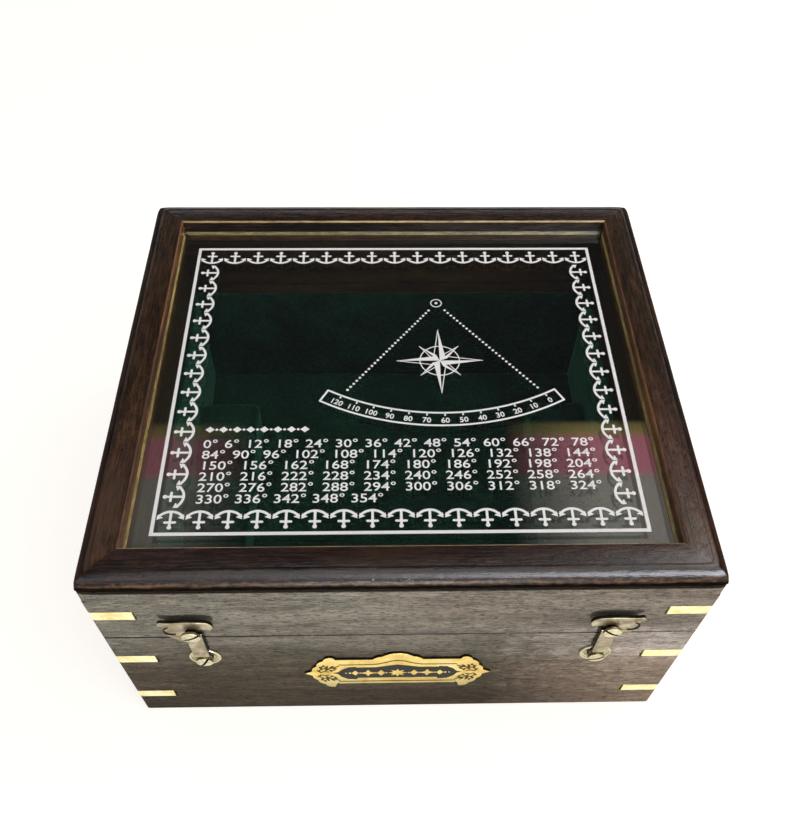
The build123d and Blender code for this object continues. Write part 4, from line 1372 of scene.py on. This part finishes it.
plateLook = {
    "softened": 0.12, "rimWidth": 0.95, "rimSlope": 0.30, "sunk": 0.03,
    "footDepth": 9.1, "footReach": 18.8, "lowerShare": 0.935,  # the lower half is shallower than the solid
    "enamel": 0.05, "relief": 0.12,  # how far the black and the ornament stand above the sunk field
    "lineWidth": 0.42, "stemWidth": 0.46, "leafWidth": 0.85,
    # the fine ridges across the rim
    "millPitch": 0.95, "millAcross": 0.62, "millAlong": 0.50, "millHeight": 0.10, "millInset": 0.52,
    "millReach": 8.6,
    # right half of the black panel, from the plate's middle: across and up, in millimetres
    "panel": ((0, 5.9), (3.2, 5.1), (6.3, 4.1), (12.3, 4.0), (12.3, 4.5), (14.7, 4.2), (16.6, 2.6), (17.7, 0.8),
              (19.3, 0.0), (17.9, -0.5), (16.9, -2.6), (15.0, -4.4), (12.3, -4.7), (12.0, -3.55), (0, -3.5)),
    "upperLine": ((0, 8.9), (1.9, 8.5), (4.2, 7.2), (6.6, 6.3), (9.0, 6.1), (17.3, 6.05)),
    "lowerLine": ((0, -6.2), (17.6, -6.25)),
    # one corner scroll, from its outer end: inwards and away from the middle line
    "stems": (
        ((0.2, 0.2), (-0.3, 1.3), (0.5, 2.5), (1.9, 3.1), (3.6, 3.3), (5.6, 4.6)),
        ((1.9, 3.1), (2.6, 2.2), (3.6, 1.7), (4.6, 2.2)),
        ((0.5, 2.5), (0.4, 3.9), (1.3, 4.7)),
        ((0.2, 0.2), (1.3, 0.8), (2.6, 0.5))),
    # leaves on it: base, tip
    "leaves": (
        ((1.6, 3.1), (2.6, 5.2)), ((3.0, 3.3), (4.3, 5.1)), ((0.7, 2.8), (-0.1, 4.6)), ((2.2, 2.8), (1.6, 1.2)),
        ((3.7, 3.1), (5.3, 2.9)), ((3.4, 1.8), (3.3, 0.7)), ((0.1, 0.9), (-1.0, 1.9)), ((1.3, 4.4), (1.2, 5.6))),
    "leafSwell": ((0.15, 0.55), (0.35, 1.0), (0.6, 0.85), (0.82, 0.45)),  # shares of its length and width
    "scrollPlace": (23.2, 0.5), "scrollDrop": 0.3, "ornamentLevel": 0.2,
    "starWaist": 0.5, "quarterWaist": 0.42, "lozengeHeight": 1.65,
    # the plain ornament: kind, how far from the middle, and size
    "ornament": (("star", 0.0, 2.75), ("bead", 3.35, 0.36), ("lozenge", 4.95, 2.45), ("bead", 6.55, 0.36),
                 ("quarterStar", 8.85, 2.35), ("bead", 11.2, 0.36), ("lozenge", 12.7, 2.1), ("bead", 14.3, 0.44),
                 ("bead", 15.5, 0.28)),
}


def outlineOf(builder):
    # the front outline of the plate, as (x, z) points
    face = max(builder.faces, key=lambda f: f.calc_area() * (f.normal.y < -0.9))
    return [(loop.vert.co.x, loop.vert.co.z) for loop in face.loops]


def shallowFoot(look, outline, centre):
    foot, reach = look["footDepth"] * mm, look["footReach"] * mm
    shallow = []
    for x, z in outline:
        drop = centre[1] - z
        if drop > 0:
            drop = min(drop, foot) if abs(x - centre[0]) < reach else drop * look["lowerShare"]
        shallow.append((x, centre[1] - drop))
    return shallow


def makePlate(look):
    source = mergedCopy("nameplate")
    outline = outlineOf(source)
    source.free()
    low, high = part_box("nameplate")
    centre = ((low.x + high.x) / 2, placeOf("nameplate").z)
    outline = shallowFoot(look, outline, centre)
    halfX, halfZ = (high.x - low.x) / 2, (high.z - low.z) / 2
    thickness = high.y - low.y
    soft, rim, slope = look["softened"] * mm, look["rimWidth"] * mm, look["rimSlope"] * mm
    # (how far in from the edge, height above the case)
    steps = ((0, 0), (0, thickness - soft), (soft * 0.3, thickness - soft * 0.3), (soft, thickness),
             (rim, thickness), (rim + slope, thickness - look["sunk"] * mm))
    builder = bmesh.new()
    loops = []
    for inset, height in steps:
        shrinkX, shrinkZ = 1 - inset / halfX, 1 - inset / halfZ
        loops.append([builder.verts.new((centre[0] + (x - centre[0]) * shrinkX, frontY - height,
                                         centre[1] + (z - centre[1]) * shrinkZ)) for x, z in outline])
    count = len(outline)
    for outer, inner in zip(loops, loops[1:]):
        for index in range(count):
            following = (index + 1) % count
            builder.faces.new([outer[index], outer[following], inner[following], inner[index]])
    for loop in (loops[0], loops[-1]):
        for corners in geometry.tessellate_polygon([[vert.co for vert in loop]]):
            builder.faces.new([loop[index] for index in corners])
    faceOutward(builder)
    for face in builder.faces:
        # painted shade: the edges and slopes get dark patina
        face.material_index = 0 if face.normal.y < -0.9 else 1  # dark on its edges and slopes
    piece = makePiece("nameplate_pressed", meshFrom("nameplate", builder), "base",
                      (plateBrass, patinaAndShade), 15)
    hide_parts("nameplate")
    tip = max(outline)
    return outline, (centre[0], tip[1]), thickness


def plateShape(name, polygons, middle, low, high, material):
    builder = flatSolid([[(x * mm + middle[0], y * mm + middle[1]) for x, y in polygon] for polygon in polygons],
                        low, high)
    makePiece(name, meshFrom(name, stoodOnFront(builder)), "base", (material,), 30)


def leafShape(base, tip, width, swells):
    # a pointed leaf from base to tip
    (ax, ay), (bx, by) = base, tip
    sideX, sideY = -(by - ay), bx - ax
    length = math.hypot(sideX, sideY)
    sideX, sideY = sideX / length * width / 2, sideY / length * width / 2
    near, far = [], []
    for share, swell in swells:
        x, y = ax + (bx - ax) * share, ay + (by - ay) * share
        near.append((x + sideX * swell, y + sideY * swell))
        far.append((x - sideX * swell, y - sideY * swell))
    return [base] + far + [tip] + near[::-1]


def plateOrnament(look):
    level = look["ornamentLevel"]
    shapes = []
    for kind, across, size in look["ornament"]:
        for side in ((-1, 1) if across else (1,)):
            centre = (side * across, level)
            shapes.append({"star": lambda: starShape(8, size, size * look["starWaist"], centre),
                           "quarterStar": lambda: starShape(4, size, size * look["quarterWaist"], centre),
                           "lozenge": lambda: lozenge(size, size * look["lozengeHeight"], centre),
                           "bead": lambda: disc(size, 14, centre)}[kind]())
    return shapes


def plateLines(look):
    lines = []
    for points in (look["upperLine"], look["lowerLine"]):
        run = smoothed(points, 5)
        lines += stroke([(-x, y) for x, y in reversed(run[1:])] + run, look["lineWidth"])
    outward, upward = look["scrollPlace"]
    for sideX in (-1, 1):
        for sideY in (-1, 1):
            drop = look["scrollDrop"] * (sideY < 0)

            def placed(points):
                return [(sideX * (outward - u), sideY * (v + upward) - drop) for u, v in points]

            for points in look["stems"]:
                lines += stroke(placed(smoothed(points, 5)), look["stemWidth"])
            lines += [placed(leafShape(base, tip, look["leafWidth"], look["leafSwell"]))
                      for base, tip in look["leaves"]]
    return lines


def dressPlate(look, outline, middle, thickness):
    field = thickness - look["sunk"] * mm
    under, enamelTop, reliefTop = field - 0.02 * mm, field + look["enamel"] * mm, field + look["relief"] * mm
    half = list(look["panel"])
    panel = half + [(-x, y) for x, y in reversed(half[1:-1])]
    plateShape("nameplate_enamel", [panel], middle, under, enamelTop, blackEnamel)
    plateShape("nameplate_ornament", plateOrnament(look), middle, enamelTop - 0.02 * mm, reliefTop, plateBrass)
    plateShape("nameplate_dark_lines", plateLines(look), middle, under, enamelTop, engravedBrown)
    # fine ridges across the rim, along the arch at the top
    inset, reach = look["millInset"] * mm, look["millReach"] * mm
    arch = sorted((x, z - inset) for x, z in outline if abs(x - middle[0]) < reach and z > middle[1])
    base = bpy.data.meshes.new("archLine")
    runs = [(index, index + 1) for index in range(len(arch) - 1)]
    base.from_pydata([(x, z, thickness) for x, z in arch], runs, [])
    along, across = look["millAlong"] * mm / 2, look["millAcross"] * mm / 2
    corners = ((-1, -1), (1, -1), (1, 1), (-1, 1))
    ridge = bpy.data.meshes.new("ridge")
    ridge.from_pydata(
        [(x * along, y * across, -0.02 * mm) for x, y in corners]
        + [(x * along * 0.4, y * across * 0.7, look["millHeight"] * mm) for x, y in corners],
        [], [(3, 2, 1, 0), (4, 5, 6, 7), (0, 1, 5, 4), (1, 2, 6, 5), (2, 3, 7, 6), (3, 0, 4, 7)])
    mark = helperObject("ridge", ridge)
    mesh = runTree("rimRidges", edging, {
        "Mark": mark, "Pitch": look["millPitch"] * mm, "Material": plateBrass}, base)
    bpy.data.objects.remove(mark)
    stored(stoodOnFront(loaded(mesh)), mesh)
    makePiece("nameplate_rim_ridges", mesh, "base", (), 20)


dressPlate(plateLook, *makePlate(plateLook))
print("nameplate: done")


# Velvet

velvetLook = {
    "cell": 2.0, "wallEdge": 0.6, "floorEdge": 0.7, "slack": 0.15, "wave": 60.0,
    "wallFill": 0.95, "floorFill": 0.9, "blockFill": 0.9,
    "voxel": 0.9, "smoothing": 0.7, "rounds": 9, "pucker": 0.25, "puckerSize": 7.0,
}


def gridBox(low, high, cell):
    # a closed box divided into cells on every side
    size = high - low
    counts = [max(2, round(length / (cell * mm))) for length in size]
    builder = bmesh.new()
    made = {}

    def corner(*key):
        if key not in made:
            made[key] = builder.verts.new([low[a] + size[a] * key[a] / counts[a] for a in range(3)])
        return made[key]

    for axis in range(3):
        first, second = [a for a in range(3) if a != axis]
        for side in (0, counts[axis]):
            for u in range(counts[first]):
                for v in range(counts[second]):
                    corners = []
                    for du, dv in ((0, 0), (1, 0), (1, 1), (0, 1)):
                        index = [0, 0, 0]
                        index[axis], index[first], index[second] = side, u + du, v + dv
                        corners.append(corner(*index))
                    builder.faces.new(corners)
    faceOutward(builder)
    return builder


def softLining(node, edge):
    # a velvet-covered board: rounded edges and a slightly slack surface, inside the node's box
    look = velvetLook
    low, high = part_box(node)
    builder = gridBox(low, high, look["cell"])
    centre, half = (low + high) / 2, (high - low) / 2
    radius = min(edge * mm, min(half) * 0.98)
    for vert in builder.verts:
        offset = vert.co - centre
        core = Vector([max(radius - half[a], min(half[a] - radius, offset[a])) for a in range(3)])
        out = offset - core
        if out.length > 1e-9:
            slack = look["slack"] * (0.5 + 0.5 * noise.noise(vert.co * look["wave"]))
            vert.co = centre + core + out.normalized() * min(radius * (1 - slack), out.length)
    piece = makePiece(f"{node}_velvet", meshFrom(node, builder), "base", (greenVelvet,), 180)
    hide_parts(node)


def softBlock(node):
    # a velvet-covered block: corners pulled round by the cloth, faces puckered a little, inside the node's box
    look = velvetLook
    low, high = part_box(node)
    source = helperObject(node + "Source", meshFrom(node, mergedCopy(node)))
    remesh = source.modifiers.new("even", "REMESH")
    remesh.mode = "VOXEL"
    remesh.voxel_size = look["voxel"] * mm
    smooth = source.modifiers.new("smooth", "SMOOTH")
    smooth.factor = look["smoothing"]
    smooth.iterations = look["rounds"]
    mesh = evaluatedMesh(source)
    for vert in mesh.vertices:
        pucker = look["pucker"] * mm * (noise.noise(vert.co / (look["puckerSize"] * mm)) - 0.5)
        moved = vert.co + vert.normal * pucker
        vert.co = [max(low[a], min(high[a], moved[a])) for a in range(3)]
    piece = makePiece(f"{node}_velvet", mesh, "base", (greenVelvet,), 180)
    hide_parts(node)


for side in ("front", "back", "left", "right"):
    softLining(f"wall_lining_{side}", velvetLook["wallEdge"])
softLining("floor_lining", velvetLook["floorEdge"])
for side in ("left", "right"):
    softBlock(f"support_block_{side}")
print("velvet: done")


# Print on the glass

printLook = {
    "thickness": 0.03, "line": 1.0, "left": -66.0, "right": 65.6, "front": -59.3, "back": 54.9,
    "anchorsAcross": 17, "anchorsDown": 15, "anchorInset": 4.9,
}


anchorLook = {  # one anchor in millimetres, its crown at +y and its ring at -y
    "crownRadius": 4.05, "crownWidth": 0.75, "crownSweep": (33, 147), "crownCentre": (0, -1.42),
    "shankSize": (0.72, 4.7), "shankCentre": (0, 0.2), "stockSize": (3.4, 0.72), "stockCentre": (0, -0.75),
    "ringRadius": 0.62, "ringCentre": (0, -2.35),
    "fluke": ((3.62, 0.10), (3.42, 1.85), (2.95, 1.25), (2.15, 0.95), (1.95, 0.72)),
}


def anchorPolygons(look):
    crown = ringBand(look["crownRadius"], look["crownWidth"], *look["crownSweep"], 16, look["crownCentre"])
    shank = rectangle(*look["shankSize"], look["shankCentre"])
    stock = capsule(*look["stockSize"], look["stockCentre"])
    ring = disc(look["ringRadius"], 14, look["ringCentre"])
    flukes = [[(sign * x, y) for x, y in look["fluke"]] for sign in (-1, 1)]
    return [crown, shank, stock, ring] + flukes


def anchorTree():
    # a border of anchors round a rectangle, crowns inwards
    tree, entry, leave = startTree("anchorBorder", {
        "Anchor": "Object", "Across": "Int", "Down": "Int", "Left": "Float", "Right": "Float", "Front": "Float",
        "Back": "Float", "Height": "Float", "Material": "Material"})
    shape = givenShape(tree, entry["Anchor"])
    width = addMath(tree, "SUBTRACT", entry["Right"], entry["Left"])
    depth = addMath(tree, "SUBTRACT", entry["Back"], entry["Front"])
    stepX = addMath(tree, "DIVIDE", width, addMath(tree, "SUBTRACT", entry["Across"], 1.0))
    stepY = addMath(tree, "DIVIDE", depth, addMath(tree, "SUBTRACT", entry["Down"], 1.0))
    between = addMath(tree, "SUBTRACT", entry["Down"], 2.0)
    secondRow = plus(tree, entry["Front"], stepY)
    rows = (
        (entry["Left"], entry["Front"], stepX, None, entry["Across"], 0.0),
        (entry["Left"], entry["Back"], stepX, None, entry["Across"], math.pi),
        (entry["Left"], secondRow, None, stepY, between, -math.pi / 2),
        (entry["Right"], secondRow, None, stepY, between, math.pi / 2),
    )
    join = addNode(tree, "GeometryNodeJoinGeometry")
    for x, y, dx, dy, count, turn in rows:
        start = addNode(tree, "ShaderNodeCombineXYZ", {"X": x, "Y": y, "Z": entry["Height"]}).outputs[0]
        step = addNode(tree, "ShaderNodeCombineXYZ")
        if dx is not None:
            link(tree, dx, step.inputs["X"])
        if dy is not None:
            link(tree, dy, step.inputs["Y"])
        line = addNode(tree, "GeometryNodeMeshLine", {
            "Count": count, "Start Location": start, "Offset": step.outputs[0]})
        link(tree, realCopies(tree, line.outputs[0], shape, (0, 0, turn)), join.inputs[0])
    return finishTree(tree, entry, leave, join.outputs[0])


def flatMark(name, polygons):
    return helperObject(name, meshFrom(name, flatSolid(scaled(polygons), 0, printLook["thickness"] * mm)))


def makeAnchors(look):
    anchor = flatMark("anchor", anchorPolygons(anchorLook))
    inset = look["anchorInset"]
    mesh = runTree("anchorBorder", anchorTree(), {
        "Anchor": anchor, "Across": look["anchorsAcross"], "Down": look["anchorsDown"],
        "Left": (look["left"] + inset) * mm, "Right": (look["right"] - inset) * mm,
        "Front": (look["front"] + inset) * mm, "Back": (look["back"] - inset) * mm,
        "Height": glassHigh.z, "Material": whiteInk})
    makePiece("print_anchors", mesh, "lid", (), 30)
    bpy.data.objects.remove(anchor)


def makeBorderLine(look):
    centre = ((look["left"] + look["right"]) / 2, (look["front"] + look["back"]) / 2)
    width, depth, line = look["right"] - look["left"], look["back"] - look["front"], look["line"]
    sides = [rectangle(width, line, (centre[0], look["front"] + line / 2)),
             rectangle(width, line, (centre[0], look["back"] - line / 2)),
             rectangle(line, depth, (look["left"] + line / 2, centre[1])),
             rectangle(line, depth, (look["right"] - line / 2, centre[1]))]
    builder = flatSolid(scaled(sides), glassHigh.z, glassHigh.z + look["thickness"] * mm)
    makePiece("print_border_line", meshFrom("borderLine", builder), "lid", (whiteInk,), 30)


tableLook = {  # rows of plain figures, six degrees apart
    "step": 6, "count": 60, "size": 4.05, "bold": 0.035, "stretch": 1.18, "width": 110.4, "pitch": 3.75,
    "left": -55.3, "firstRow": -30.45,
}


def makeFigureRows(look):
    words = " ".join(f"{number * look['step']}\u00b0" for number in range(look["count"]))
    mesh = figureMesh("figureRows", words, look)
    mesh.transform(Matrix.Translation((look["left"] * mm, look["firstRow"] * mm, glassHigh.z)))
    makePiece("print_figure_rows", mesh, "lid", (whiteInk,), 30)


dialLook = {
    "centre": (12.7, 49.3), "outerRadius": 72.1, "innerRadius": 67.4, "lineWidth": 0.62, "halfSweep": 29.8,
    "zeroAngle": 26.85, "tenStep": 4.40, "figureCount": 13, "figureRadius": 70.2,
    "figure": {"size": 2.6, "bold": 0.05, "stretch": 1.0}, "mark": (0.50, 1.15),
    "apex": (12.7, 27.8), "dotRadius": 0.42, "dotPitch": 1.5, "dotStart": 4.2, "hubRadius": 1.7, "hubDot": 0.5,
    "roseCentre": (12.7, 2.6), "roseLong": 13.0, "roseShort": 8.4, "roseWaist": 2.5, "roseRing": 6.0,
    "ringLine": 0.34, "roseLine": 0.28,
}


def compassRose(look):
    # eight points, each with one filled half and one outlined half, and a ring behind them
    middle = look["roseCentre"]
    polygons = [ringBand(look["roseRing"], look["ringLine"], start, start + 90, 18, middle)
                for start in (0, 90, 180, 270)]
    for index in range(8):
        reach = look["roseShort"] if index % 2 else look["roseLong"]
        angle = math.radians(90 + 45 * index)
        flank = math.radians(22.5 if index % 2 else 45)
        waist = look["roseWaist"]
        tip = onCircle(middle, reach, angle)
        left, right = onCircle(middle, waist, angle + flank), onCircle(middle, waist, angle - flank)
        polygons.append([middle, right, tip])
        polygons += stroke([tip, left, middle], look["roseLine"])
    return polygons


def makeDial(look):
    thickness = printLook["thickness"] * mm
    centre, sweep, line = look["centre"], look["halfSweep"], look["lineWidth"]
    outer, inner = look["outerRadius"], look["innerRadius"]
    lines = [ringBand(radius, line, 270 - sweep, 270 + sweep, 72, centre) for radius in (outer, inner)]
    for side in (-1, 1):
        angle = math.radians(270 + side * sweep)
        lines += stroke([onCircle(centre, radius, angle) for radius in (inner, outer)], line)
    lines += [ringBand(look["hubRadius"], look["ringLine"], start, start + 180, 16, look["apex"])
              for start in (0, 180)]
    lines.append(disc(look["hubDot"], 12, look["apex"]))
    for name, shapes in (("print_dial_lines", lines), ("print_compass_rose", compassRose(look))):
        builder = flatSolid(scaled(shapes), glassHigh.z, glassHigh.z + thickness)
        makePiece(name, meshFrom(name, builder), "lid", (whiteInk,), 30)
    # a mark at every ten
    first, step = math.radians(270 + look["zeroAngle"]), math.radians(-look["tenStep"])
    width, length = look["mark"]
    mark = flatMark("dialMark", [rectangle(length, width, (inner + length / 2, 0))])
    mesh = runTree("dialMarks", fans, {
        "Mark": mark, "Count": look["figureCount"], "First Angle": first, "Step Angle": step,
        "Centre": (centre[0] * mm, centre[1] * mm, glassHigh.z), "Material": whiteInk})
    bpy.data.objects.remove(mark)
    makePiece("print_dial_marks", mesh, "lid", (), 30)
    # a dotted line from the apex to the first and the last mark
    dot = flatMark("dot", [disc(look["dotRadius"], 12)])
    apex = Vector((*look["apex"], 0)) * mm
    for turn, label in ((0, "right"), (look["figureCount"] - 1, "left")):
        angle = first + step * turn
        end = Vector((*onCircle(centre, inner, angle), 0)) * mm
        direction = (end - apex).normalized()
        count = int(((end - apex).length / mm - look["dotStart"]) / look["dotPitch"])
        mesh = runTree("dots" + label, rows, {
            "Mark": dot, "Count": count, "Step": direction * look["dotPitch"] * mm, "Material": whiteInk,
            "Start": apex + direction * look["dotStart"] * mm + Vector((0, 0, glassHigh.z))})
        makePiece(f"print_dotted_line_{label}", mesh, "lid", (), 30)
    bpy.data.objects.remove(dot)
    # figures that turn with the arc
    builder = bmesh.new()
    for number in range(look["figureCount"]):
        mesh = figureMesh("dialFigure", str(number * 10), look["figure"])
        xs = [vert.co.x for vert in mesh.vertices]
        ys = [vert.co.y for vert in mesh.vertices]
        turn = math.radians(look["zeroAngle"] - look["tenStep"] * number)
        middled = Matrix.Translation((
            -(min(xs) + max(xs)) / 2, -look["figureRadius"] * mm - (min(ys) + max(ys)) / 2, 0))
        mesh.transform(Matrix.Translation((centre[0] * mm, centre[1] * mm, glassHigh.z))
                       @ Matrix.Rotation(turn, 4, "Z") @ middled)
        builder.from_mesh(mesh)
    makePiece("print_dial_figures", meshFrom("dialFigures", builder), "lid", (whiteInk,), 30)


headerLook = {"left": -53.9, "right": -27.0, "level": -23.9, "count": 8, "lozenge": (2.6, 2.2), "bead": 0.42}


def makeHeader(look):
    # a line of lozenges and beads above the rows
    pitch = (look["right"] - look["left"]) / (look["count"] - 1)
    for label, shape, count, shift in (("lozenges", lozenge(*look["lozenge"]), look["count"], 0.0),
                                       ("beads", disc(look["bead"], 12), look["count"] - 1, pitch / 2)):
        mark = flatMark(label, [shape])
        mesh = runTree(label, rows, {
            "Mark": mark, "Count": count, "Start": ((look["left"] + shift) * mm, look["level"] * mm, glassHigh.z),
            "Step": (pitch * mm, 0, 0), "Material": whiteInk})
        bpy.data.objects.remove(mark)
        makePiece(f"print_header_{label}", mesh, "lid", (), 30)


makeAnchors(printLook)
makeBorderLine(printLook)
makeFigureRows(tableLook)
makeDial(dialLook)
makeHeader(headerLook)
print("print on the glass: done")
